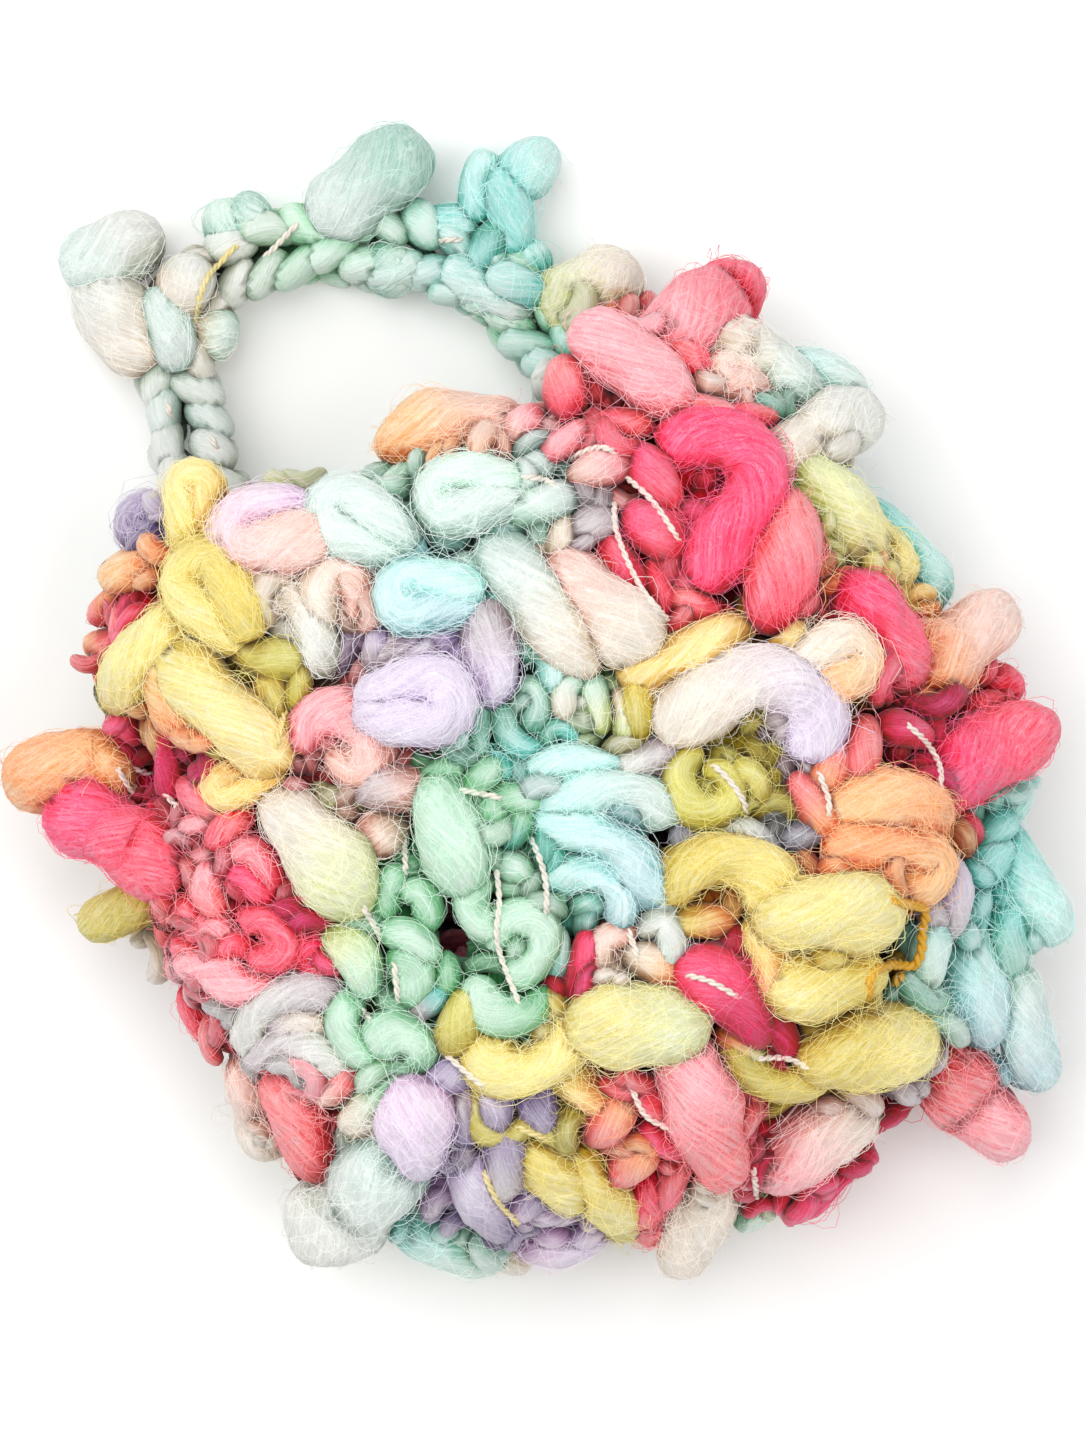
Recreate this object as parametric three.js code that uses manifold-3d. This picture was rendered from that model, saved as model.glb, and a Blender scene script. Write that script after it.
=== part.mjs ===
// A crocheted earbud pouch of thick-and-thin slub yarn that lies on its back, with a finger strap at its mouth.
// Millimetres. +Z is up from the surface it lies on, +Y points towards the mouth, +X runs across the pouch.
import * as THREE from "three";
import { mergeVertices } from "three/addons/utils/BufferGeometryUtils.js";
import Module from "manifold-3d";

const wasm = await Module();
wasm.setup();

// Driving dimensions of the crocheted bag
const BASE_Y = -51; // closed end of the bag
const WIDEST_Y = -3; // round with the most stitches
const RIM_Y = 42; // edge of the mouth
const HALF_WIDTH = 47; // half the widest round, without puffs
const DEPTH = 35; // front to back at the widest round, without puffs
const WALL = 5.5; // thickness of the crocheted fabric
const STAND_OFF = 2.6; // the back fabric is held off the surface by the puffs under it
const RIM_TAPER_REACH = 74; // the sides would close this far past the widest round
const RIM_CLOSE_REACH = 60; // front and back would meet this far past the widest round
const BAG_POWER = 2.3; // roundness of the bag's outline
const ROUND_POWER = 2.4; // roundness of one round of stitches
const SAG = 0.3; // share of a thinner round's missing depth that lies below it

// Grain of the solids
const GRAIN = 0.05; // joins and cuts leave no sliver finer than this
const ROUND_SIDES = 30;
const BASE_ROUNDS = 6;
const UPPER_ROUNDS = 5;
const CAVITY_SIDES = 20;
const PUFF_SIDES = 6;
const PUFF_RINGS = 4;
const LONG_PUFF_RINGS = 5;
const LONG_PUFF = 15; // puffs from this length on have the finer grain
const PUFF_FULLNESS = 1.1; // puffs are this much fuller than what their neighbours leave to be seen
const PUFF_BLUNTNESS = 2.15; // above 2 the puff's ends are fuller than an ellipse's
const PUFF_PROUD = 0.3; // share of its radius by which a puff's middle stands out of the fabric

// The finger strap
const STRAP_RADIUS = 3.7;
const STRAP_RELIEF = 0.2; // how much the links of the chain stand out, as a share of the radius
const STRAP_LINK = 6.6; // length of one link
const STRAP_SIDES = 10;
const STRAP_STEPS = 52;
const CLEARANCE = 0.5; // between the strap and the bag

/** Turns rows of numbers into objects with the named columns. */
function table(columns, rows) {
  const names = columns.split(" ");
  return rows.map((row) => Object.fromEntries(names.map((name, i) => [name, row[i]])));
}

// Puffs of the front and the edges: middle, size, turn from +X in degrees, sideways bow, lift off the fabric
const FRONT_PUFFS = table("x y long wide turn bow lift", [
  // rim and shoulders
  [-34, 46.5, 12, 7.5, 70, 0, -9],
  [-26.5, 46, 12, 6.5, 62, 1.5, 1],
  [-20, 42, 13.5, 9.5, -15, 0, 1],
  [-9.5, 38, 13, 8.5, -55, 0, 1],
  [4, 37.5, 13.5, 10, -10, 0, 1],
  [19, 43, 10, 6.5, 80, 0, -1],
  [27, 43.5, 14, 8.5, -45, 0, 0],
  [35.5, 47, 18, 9.5, 28, 0, -4],
  [-39.5, 39.5, 13, 7.5, 45, 0, -4],
  // right side
  [42.5, 39.5, 16, 7.5, -60, 0, -3],
  [45, 35, 12, 6.5, -50, 0, -8],
  [44, 30.5, 16.5, 7.5, 5, 0, -1],
  [45, 19, 16, 8.5, -65, 0, -2],
  [48.5, 14, 15, 7, -72, 0, -4],
  // upper front
  [-28.5, 37, 15, 11.5, -62, 0, 1],
  [-18.5, 30, 13, 9, 15, 0, 0],
  [-4.8, 27.6, 12.5, 9, -20, 0, 1],
  [7.5, 21, 18, 8.5, -70, 0, 1],
  [14.5, 19.5, 15, 8.5, -62, 0, 1],
  [33, 32.5, 16, 9.5, -30, 2.5, 1],
  [30.3, 21.5, 15, 10.5, 38, 0, 0],
  [36, 16.5, 14, 10, 55, 0, 2],
  [-38, 30.5, 12, 8, 28, 0, 1],
  [-32.5, 22.5, 18, 9, -64, 0, 2],
  [13, 33.5, 10, 7.5, 60, 0, -0.5],
  [20.5, 36, 10, 8, 70, 0, -0.5],
  [22.5, 26, 11, 7, -62, 0, -0.5],
  [-24.5, 24.5, 10, 7, -60, 0, -0.5],
  // middle
  [-51, 22.5, 17.5, 10.5, 8, 0, -3],
  [-48, 12.5, 16.5, 10, -42, 0, 0],
  [-49.5, 5.3, 16, 6.2, 8, 0, -5],
  [-9.8, 16.2, 13.5, 11, -3, 0, 1.5],
  [-0.5, 18, 10.5, 8, 70, 0, 1],
  [-20.3, 15, 12, 10.3, 20, 0, 1],
  [-27, 3.7, 18, 10.8, -70, 0, 1.5],
  [-11.7, 0.2, 15, 10.2, 80, 0, 1],
  [5, -1.5, 14, 7.5, -10, 0, 1],
  [4.8, -7.5, 14, 7.5, -28, 0, 0],
  [21.5, 10.7, 14, 6.2, 3, 0, 0],
  [20.8, 3.8, 16.5, 8.8, 12, 0, 2],
  [31, 0.5, 14.5, 11, -66, 0, 2],
  [38.5, 4, 10, 9, -20, 0, 1],
  [44, 6, 14, 9.5, -45, 0, 0],
  [51.7, 0.2, 17, 9.7, 16, 0, -2],
  [51.5, -5.8, 15, 6.5, -12, 0, -5],
  [51.3, -12.4, 19.5, 10, 5, 0, -1],
  [-40.5, 4.4, 11, 8.5, 10, 0, 0],
  [-43.3, -6, 14, 7.5, -28, 0, 0],
  [-45.7, -10.5, 11, 7, -75, 0, -3],
  [-3, 8.5, 12, 9, 20, 0, -0.5],
  [10, 9, 10, 7, 75, 0, -0.5],
  [-38, 13, 9, 6.5, 30, 0, -0.5],
  [-20, -5, 9, 6.5, -60, 0, -0.5],
  [-5, -5, 10, 6.5, 80, 0, -0.5],
  // lower middle
  [-27, -11, 12, 6.5, -70, 0, 0],
  [-26, -20, 11, 7.5, -45, 0, 1],
  [-11, -17.5, 14, 8, -60, 2, 1],
  [-36.5, -13.5, 13, 6.5, 6, 0, 1],
  [-35.8, -18.4, 12.5, 6.8, -10, 0, 0.3],
  [19, -5.5, 12, 6.5, -42, 1, 0],
  [30.5, -9.8, 9, 6.5, -70, 0, 0],
  [38, -14.5, 15.5, 8, -26, 1, 1],
  [35, -19.7, 14.5, 7, -35, 0, 1],
  [44.5, -8.5, 11, 7, -60, 0, -1],
  [16, -15, 19, 7, -8, 4, 1],
  [26.3, -23.5, 16, 10, -18, 0, 2],
  [22.5, -31.3, 13, 8.5, -10, 0, 1],
  [4, -20, 12, 7, 0, 0, 0],
  [-12, -26.7, 15, 8.5, 0, -1.5, 1.5],
  [1, -28.5, 14.5, 10, -18, 0, 2],
  [11, -28.5, 14, 9, -50, 0, 1],
  [47.5, -20.5, 14, 8.5, -10, 0, -4],
  [50, -28.7, 17, 7, -78, 0, -4],
  [40.5, -38, 14.5, 9, 82, 0, -3],
  [18.5, -10.5, 10, 6, -20, 0, -0.5],
  [-16, -33, 12, 7.5, 0, 0, -0.5],
  // base
  [-43.5, -22, 13, 8, 75, 0, -5],
  [-39.8, -25.5, 14, 8, 86, 0, -3],
  [-28, -30.3, 11.5, 10, 80, 0, 1.5],
  [-35, -36, 18.5, 11.5, 28, 0, -4],
  [-28.5, -44.5, 16, 10, -55, 0, -5],
  [-17, -48.5, 12.5, 10, -25, 0, -4],
  [-21.5, -41.5, 10, 6.5, -75, 0, -1],
  [-11.5, -44, 14, 7, -50, 0, -1],
  [-3.5, -39, 11, 7.5, -60, 0, -1],
  [-4.5, -48.5, 12, 7, 80, 0, -3],
  [5, -40.5, 16.5, 9, 88, 0, 2],
  [0.3, -53, 15, 9.3, 52, 0, -5],
  [16, -48.5, 14.5, 11, 12, 0, -1],
  [15, -53.5, 16, 7, 22, 0, -2],
  [26.5, -47.5, 12, 7, 30, 0, -5],
  [25.3, -40.3, 13.5, 10.5, 8, 0, 1],
  [15.7, -40, 9.5, 6.5, -20, 0, 0],
  [34.7, -48.5, 18, 9, -66, 0, -5],
  [44, -43.5, 17, 8, 82, 0, -5],
]);

// Puffs of the back, which the pouch lies on, in rows across it
const BACK_ROWS = table("y count half", [
  [35, 3, 24],
  [18, 4, 34],
  [0, 5, 38],
  [-18, 4, 34],
  [-35, 3, 20],
]);
const BACK_PUFF = { long: 20, wide: 13 };
const BACK_TURNS = [25, -40, 75, -15]; // the back puffs lie every which way, in this order

// Puffs on the strap: middle on the surface, height of the middle, size and turn
const STRAP_PUFFS = table("x y z long wide turn bow", [
  [-26.5, 80.5, 5, 14, 9, 5, 0],
  [-28.5, 73, 5.2, 15.5, 9, -72, 0],
  [-11, 79, 4.5, 9, 5.5, 95, 0],
  [5.3, 78, 5.6, 17.5, 9, 20, -0.5],
  [19.3, 67.5, 5.5, 14, 6.5, 75, 0],
  [21.5, 72.8, 4.6, 13, 6.5, 12, 0],
  [26, 55.5, 6.5, 14.5, 9.8, 12, 0],
]);

// Open gaps between stitches of the front, each over 4 mm
const GAPS = table("x y long wide turn", [
  [-16, -10, 10, 5.2, 80],
  [12.2, -8.2, 8, 4.4, 100],
  [-43, 19.5, 10, 4.6, 85],
  [31.5, -32, 6, 5.2, 30],
  [-36.3, -26.5, 6.5, 4.6, 60],
  [40, -9.8, 5.4, 4.4, 50],
]);
const GAP_SIDES = 8;

// Middle line of the strap, from its left root on the back rim round to its right root
const STRAP_ROUTE = table("x y z", [
  [-26.5, 40.5, 10],
  [-26.2, 49, 8],
  [-25.8, 56, 5.2],
  [-25, 62.5, 4],
  [-22.6, 69, 3.9],
  [-17, 73.2, 3.8],
  [-10, 74.4, 3.8],
  [-3, 73.4, 3.8],
  [4, 70.8, 3.8],
  [10, 67.2, 3.8],
  [15, 62, 4],
  [18.4, 56, 5.2],
  [20.6, 49.5, 8],
  [21.2, 40.5, 10],
]).map((row) => new THREE.Vector3(row.x, row.y, row.z));
const strapLine = new THREE.CatmullRomCurve3(STRAP_ROUTE);

const radians = THREE.MathUtils.degToRad;

/** How much of a full size is left at a share of the way to where it closes. */
function taper(share, power) {
  return Math.pow(Math.max(0, 1 - Math.pow(Math.abs(share), power)), 1 / power);
}

/** The round of stitches at y: its half width, its depth and the height of its middle, smaller by inset. */
function roundAt(y, inset = 0) {
  const along = y - WIDEST_Y;
  const low = along < 0;
  const baseReach = WIDEST_Y - BASE_Y - inset;
  const half = (HALF_WIDTH - inset) * taper(along / (low ? baseReach : RIM_TAPER_REACH), BAG_POWER);
  const full = DEPTH * taper(along / (low ? WIDEST_Y - BASE_Y : RIM_CLOSE_REACH), BAG_POWER);
  const depth = (DEPTH - 2 * inset) * taper(along / (low ? baseReach : RIM_CLOSE_REACH), BAG_POWER);
  const middle = STAND_OFF + SAG * (DEPTH - full) + full / 2;
  return { half, depth, middle };
}

/** A point of the round at y, at an angle round it from +X. */
function roundPoint(y, angle, inset = 0) {
  const { half, depth, middle } = roundAt(y, inset);
  const bulge = (v) => Math.sign(v) * Math.pow(Math.abs(v), 2 / ROUND_POWER);
  return new THREE.Vector3(half * bulge(Math.cos(angle)), y, middle + (depth / 2) * bulge(Math.sin(angle)));
}

/** The height of the front fabric over a spot; past the edge it is the height of the edge. */
function frontHeight(x, y) {
  const { half, depth, middle } = roundAt(Math.min(Math.max(y, BASE_Y), RIM_Y));
  return half > 0 ? middle + (depth / 2) * taper(x / half, ROUND_POWER) : middle;
}

/** Moves every point of a geometry and keeps only its closed surface. */
function reshaped(geometry, move) {
  const position = geometry.getAttribute("position");
  const point = new THREE.Vector3();
  for (let i = 0; i < position.count; i++) {
    point.fromBufferAttribute(position, i);
    move(point);
    position.setXYZ(i, point.x, point.y, point.z);
  }
  geometry.deleteAttribute("normal");
  geometry.deleteAttribute("uv");
  return mergeVertices(geometry, 1e-4);
}

/** A closed geometry as a solid that can be joined and cut. */
function solidOf(geometry) {
  return new wasm.Manifold(
    new wasm.Mesh({
      numProp: 3,
      vertProperties: Float32Array.from(geometry.getAttribute("position").array),
      triVerts: Uint32Array.from(geometry.index.array),
      tolerance: GRAIN,
    }),
  );
}

/** A joined or cut solid as a named mesh. */
function meshOf(name, solid, material) {
  const { vertProperties, triVerts } = solid.getMesh();
  const geometry = new THREE.BufferGeometry();
  geometry.setAttribute("position", new THREE.BufferAttribute(vertProperties, 3));
  geometry.setIndex(new THREE.BufferAttribute(triVerts, 1));
  geometry.computeVertexNormals();
  const mesh = new THREE.Mesh(geometry, material);
  mesh.name = name;
  return mesh;
}

/** The rounds' places from the base to the top, closest together where the base curves in. */
function roundPlaces(bottom, top) {
  const base = Array.from({ length: BASE_ROUNDS }, (_, i) => {
    const angle = ((i + 1) / (BASE_ROUNDS + 1)) * (Math.PI / 2);
    return WIDEST_Y - (WIDEST_Y - bottom) * Math.cos(angle);
  });
  const step = (top - WIDEST_Y) / UPPER_ROUNDS;
  const upper = Array.from({ length: UPPER_ROUNDS + 1 }, (_, i) => WIDEST_Y + step * i);
  return [...base, ...upper];
}

/** A closed form lofted through the rounds, inset into the fabric by the given depth. */
function bagForm(inset, top, sides) {
  const bottom = BASE_Y + inset;
  const places = roundPlaces(bottom, top);
  const sideLine = places.map((y) => new THREE.Vector2(1, y));
  const profile = [new THREE.Vector2(0, bottom), ...sideLine, new THREE.Vector2(0, top)];
  const lofted = reshaped(new THREE.LatheGeometry(profile, sides), (point) => {
    if (Math.hypot(point.x, point.z) < 0.5) {
      point.set(0, point.y, roundAt(point.y, inset).middle);
    } else {
      point.copy(roundPoint(point.y, Math.atan2(point.z, point.x), inset));
    }
  });
  return solidOf(lofted);
}

/** A puff: a blunt spindle bent along three points, which lies flat where it meets the surface. */
function puffSolid(start, middle, end, wide) {
  const spine = new THREE.QuadraticBezierCurve3(start, middle, end);
  const up = new THREE.Vector3(0, 0, 1);
  const rings = start.distanceTo(end) < LONG_PUFF ? PUFF_RINGS : LONG_PUFF_RINGS;
  const form = reshaped(new THREE.SphereGeometry(1, PUFF_SIDES, rings), (point) => {
    const along = (1 - point.y) / 2;
    const place = spine.getPoint(along);
    const side = new THREE.Vector3().crossVectors(up, spine.getTangent(along)).normalize();
    const lift = new THREE.Vector3().crossVectors(spine.getTangent(along), side);
    const radius = PUFF_FULLNESS * (wide / 2) * taper(point.y, PUFF_BLUNTNESS);
    const angle = Math.atan2(point.z, point.x);
    point.copy(place).addScaledVector(side, radius * Math.cos(angle));
    point.addScaledVector(lift, radius * Math.sin(angle));
    point.z = Math.max(point.z, 0);
  });
  return solidOf(form);
}

/** A puff laid out from its middle, with the height of each point of its spine given by a function. */
function laidPuff({ x, y, long, wide, turn, bow = 0 }, heightAt) {
  const reach = new THREE.Vector2(Math.cos(radians(turn)), Math.sin(radians(turn))).multiplyScalar(long / 2);
  const aside = new THREE.Vector2(-reach.y, reach.x).normalize().multiplyScalar(2 * bow);
  const spot = (share, sideways) => {
    const px = x + reach.x * share + aside.x * sideways;
    const py = y + reach.y * share + aside.y * sideways;
    return new THREE.Vector3(px, py, heightAt(px, py));
  };
  return puffSolid(spot(-1, 0), spot(0, 1), spot(1, 0), wide);
}

/** The puffs worked into the front and the edges. */
function frontPuffs() {
  return FRONT_PUFFS.map((puff) => {
    const proud = (PUFF_PROUD * puff.wide) / 2 + puff.lift;
    return laidPuff(puff, (x, y) => Math.max(frontHeight(x, y) + proud, puff.wide / 2));
  });
}

/** The puffs of the back, pressed flat on the surface by the pouch's weight. */
function backPuffs() {
  const height = BACK_PUFF.wide / 2 - 1;
  return BACK_ROWS.flatMap(({ y, count, half }, row) =>
    Array.from({ length: count }, (_, i) => {
      const x = half * ((2 * i) / (count - 1) - 1);
      const turn = BACK_TURNS[(row + i) % BACK_TURNS.length];
      return laidPuff({ ...BACK_PUFF, x, y, turn }, () => height);
    }),
  );
}

/** The cutters of the gaps, square to the front fabric. */
function gapCutters() {
  const step = 0.5;
  return GAPS.map(({ x, y, long, wide, turn }) => {
    const slopeX = (frontHeight(x + step, y) - frontHeight(x - step, y)) / (2 * step);
    const slopeY = (frontHeight(x, y + step) - frontHeight(x, y - step)) / (2 * step);
    const outwards = new THREE.Vector3(-slopeX, -slopeY, 1).normalize();
    const along = new THREE.Vector3(Math.cos(radians(turn)), Math.sin(radians(turn)), 0);
    const across = new THREE.Vector3().crossVectors(outwards, along).normalize();
    along.crossVectors(across, outwards);
    along.multiplyScalar(long / 2);
    across.multiplyScalar(-wide / 2);
    const frame = new THREE.Matrix4().makeBasis(along, outwards, across);
    frame.setPosition(x, y, frontHeight(x, y));
    const column = new THREE.CylinderGeometry(1, 1, 3 * WALL, GAP_SIDES);
    return solidOf(reshaped(column, (point) => point.applyMatrix4(frame)));
  });
}

/** The strap: a crocheted chain along its route, with its links raised, thicker by grow. */
function strapChain(grow) {
  const links = strapLine.getLength() / STRAP_LINK;
  const up = new THREE.Vector3(0, 0, 1);
  const chain = reshaped(new THREE.CylinderGeometry(1, 1, 1, STRAP_SIDES, STRAP_STEPS), (point) => {
    const along = 0.5 - point.y;
    const angle = Math.atan2(point.z, point.x);
    const onAxis = Math.hypot(point.x, point.z) < 0.5;
    const raised = 1 + STRAP_RELIEF * Math.cos(2 * angle) * Math.cos(2 * Math.PI * links * along);
    const radius = onAxis ? 0 : STRAP_RADIUS * raised + grow;
    const tangent = strapLine.getTangentAt(along);
    const side = new THREE.Vector3().crossVectors(up, tangent).normalize();
    const lift = new THREE.Vector3().crossVectors(tangent, side);
    const pastEnd = (along === 1 ? grow : 0) - (along === 0 ? grow : 0);
    point.copy(strapLine.getPointAt(along)).addScaledVector(tangent, pastEnd);
    point.addScaledVector(side, radius * Math.cos(angle)).addScaledVector(lift, radius * Math.sin(angle));
    point.z = Math.max(point.z, 0);
  });
  return solidOf(chain);
}

/** The puffs worked into the strap, thicker by grow. */
function strapPuffs(grow) {
  return STRAP_PUFFS.map((puff) =>
    laidPuff({ ...puff, long: puff.long + 2 * grow, wide: puff.wide + 2 * grow }, () => puff.z),
  );
}

/** The whole strap as one solid, thicker by grow. */
function strapSolid(grow) {
  return wasm.Manifold.union([strapChain(grow), ...strapPuffs(grow)]);
}

/** The whole bag as one solid: fabric with gaps, puffs, the hollow with its mouth, room for the strap. */
function bagSolid() {
  const fabric = bagForm(0, RIM_Y, ROUND_SIDES).subtract(wasm.Manifold.union(gapCutters()));
  const covered = wasm.Manifold.union([fabric, ...frontPuffs(), ...backPuffs()]);
  const pastRim = RIM_Y + 2 * WALL;
  return covered.subtract(bagForm(WALL, pastRim, CAVITY_SIDES)).subtract(strapSolid(CLEARANCE));
}

const pouchYarn = new THREE.MeshStandardMaterial({ color: "#eec2b6", roughness: 0.95, metalness: 0 });
const strapYarn = new THREE.MeshStandardMaterial({ color: "#cfe6dc", roughness: 0.95, metalness: 0 });

const pouch = new THREE.Group();
pouch.add(meshOf("pouch_bag", bagSolid(), pouchYarn));
pouch.add(meshOf("finger_strap", strapSolid(0), strapYarn));

export default pouch;
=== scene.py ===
"""A crocheted earbud pouch of thick-and-thin slub yarn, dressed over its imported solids."""

import logging
import math
from dataclasses import dataclass, field
from enum import Enum
from typing import Any, NamedTuple

import bpy
import numpy as np
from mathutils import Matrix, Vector
from mathutils.bvhtree import BVHTree


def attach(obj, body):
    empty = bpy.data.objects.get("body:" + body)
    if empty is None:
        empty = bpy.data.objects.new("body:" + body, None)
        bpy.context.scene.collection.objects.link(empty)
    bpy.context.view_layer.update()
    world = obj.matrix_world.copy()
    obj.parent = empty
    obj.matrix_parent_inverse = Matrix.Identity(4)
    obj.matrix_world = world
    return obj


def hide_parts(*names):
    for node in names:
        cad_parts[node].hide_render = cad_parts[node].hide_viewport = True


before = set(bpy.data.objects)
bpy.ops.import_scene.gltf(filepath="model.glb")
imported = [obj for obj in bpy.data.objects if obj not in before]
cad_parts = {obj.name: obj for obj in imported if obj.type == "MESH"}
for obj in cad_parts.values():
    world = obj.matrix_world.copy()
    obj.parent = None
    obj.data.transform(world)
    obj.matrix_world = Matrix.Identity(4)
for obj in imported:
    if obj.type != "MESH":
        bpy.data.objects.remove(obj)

log = logging.getLogger("earbud_pouch")

Array = np.ndarray
# The points, quads, triangles and attributes of a mesh
MeshArrays = tuple[Array, Array, Array, dict[str, Array]]

MM = 0.001
BODY = "root"
SEED = 41

# Points along each strand's spine
KNOTS = 25
# A height above everything, from which rays are cast down, and a length that counts as none
SKY = 100 * MM
NEXT_TO_NOTHING = 1e-12
# What is taken off the length of a row to stay just before its last step
LAST_STEP = 1.001


def linear(hex_code: str) -> tuple[float, float, float]:
    """Turn an sRGB hex colour into linear light.

    Args:
        hex_code: six hex digits after a hash sign.

    Returns:
        Red, green and blue from 0 to 1.
    """
    parts = [int(hex_code[i : i + 2], 16) / 255 for i in (1, 3, 5)]
    red, green, blue = (c / 12.92 if c <= 0.04045 else ((c + 0.055) / 1.055) ** 2.4 for c in parts)
    return red, green, blue


class Dye(Enum):
    """The dyes of the hand-painted yarn, as sRGB hex values."""

    ICE = "#D3E1DB"
    MINT_ICE = "#D4E9DD"
    ICE_BLUE = "#C2DEE1"
    AQUA_PALE = "#C6E9E4"
    AQUA = "#9ADAD4"
    TEAL = "#64B2A2"
    SEAFOAM = "#A0C8BA"
    MINT = "#C4E5CE"
    MINT_DEEP = "#97C9A5"
    LILAC = "#DBD0E2"
    LILAC_PINK = "#E6D0E4"
    GREY_LILAC = "#C9BFC2"
    LAVENDER = "#988AA8"
    GREY = "#98969E"
    WHITE = "#DEDFD8"
    CREAM = "#EAE0D2"
    BLUSH = "#EDCBBF"
    PEACH = "#F3BF84"
    PEACH_YELLOW = "#E8C67C"
    APRICOT = "#F0A66E"
    ORANGE = "#F29A6C"
    SALMON = "#F27C80"
    CORAL = "#F0526A"
    PINK = "#F6A6AE"
    HOT_PINK = "#F3406E"
    CRIMSON = "#CE1042"
    BUTTER = "#F4DD92"
    LEMON = "#EADC8A"
    YELLOW = "#DCC860"
    OLIVE = "#CABC58"
    CHARTREUSE = "#D8D06A"
    YELLOW_GREEN = "#DCE0AE"
    THREAD_WHITE = "#F1E9DF"
    THREAD_YELLOW = "#EFDFA0"
    THREAD_GOLD = "#E3AE2E"

    @property
    def light(self) -> Array:
        """The dye's linear colour."""
        return np.array(linear(self.value))


class Slub(NamedTuple):
    """A puff or loop: its middle, size, turn, lift, one or two dyes and sideways bow, in mm and degrees."""

    x: float
    y: float
    long: float
    wide: float
    turn: float
    lift: float
    root: Dye
    tip: Dye | None = None
    bow: float = 0.0


class Strand(NamedTuple):
    """A strand that winds over the front: its width, lift, two dyes and the spots it passes, in mm."""

    wide: float
    lift: float
    root: Dye
    tip: Dye
    spots: tuple[tuple[float, float], ...]


# Fluffy puffs folded into a loop, each with its bend where its turn points and a dye for each leg
LOOPS = (
    Slub(-33, 47.1, 9.8, 8.8, 130, -9, Dye.LILAC, Dye.LAVENDER),
    Slub(-27.3, 46.8, 13, 8, 72, 0.5, Dye.BUTTER, Dye.LEMON),
    Slub(-28.2, 36.7, 14.5, 11.3, 100, 1, Dye.YELLOW, Dye.LEMON),
    Slub(-33, 14.5, 10.5, 7, 180, 0, Dye.PEACH_YELLOW, Dye.BUTTER),
    Slub(-20.1, 41.3, 14, 12, 165, 0.5, Dye.LILAC_PINK, Dye.BLUSH),
    Slub(-9.5, 38.5, 14.5, 10.5, 125, 0.5, Dye.ICE),
    Slub(3.4, 37.2, 13.5, 10.3, 168, 0.5, Dye.MINT_ICE, Dye.ICE),
    Slub(38.5, 40.3, 8.5, 7, 150, -0.5, Dye.CREAM, Dye.BLUSH),
    Slub(-4.8, 27.5, 13, 10, 160, 1, Dye.AQUA_PALE, Dye.ICE_BLUE),
    Slub(-9.8, 16, 14, 11.5, -20, 1.5, Dye.LILAC),
    Slub(38.3, 3.7, 11.5, 9.8, -5, 1, Dye.PEACH, Dye.CREAM),
)

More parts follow.
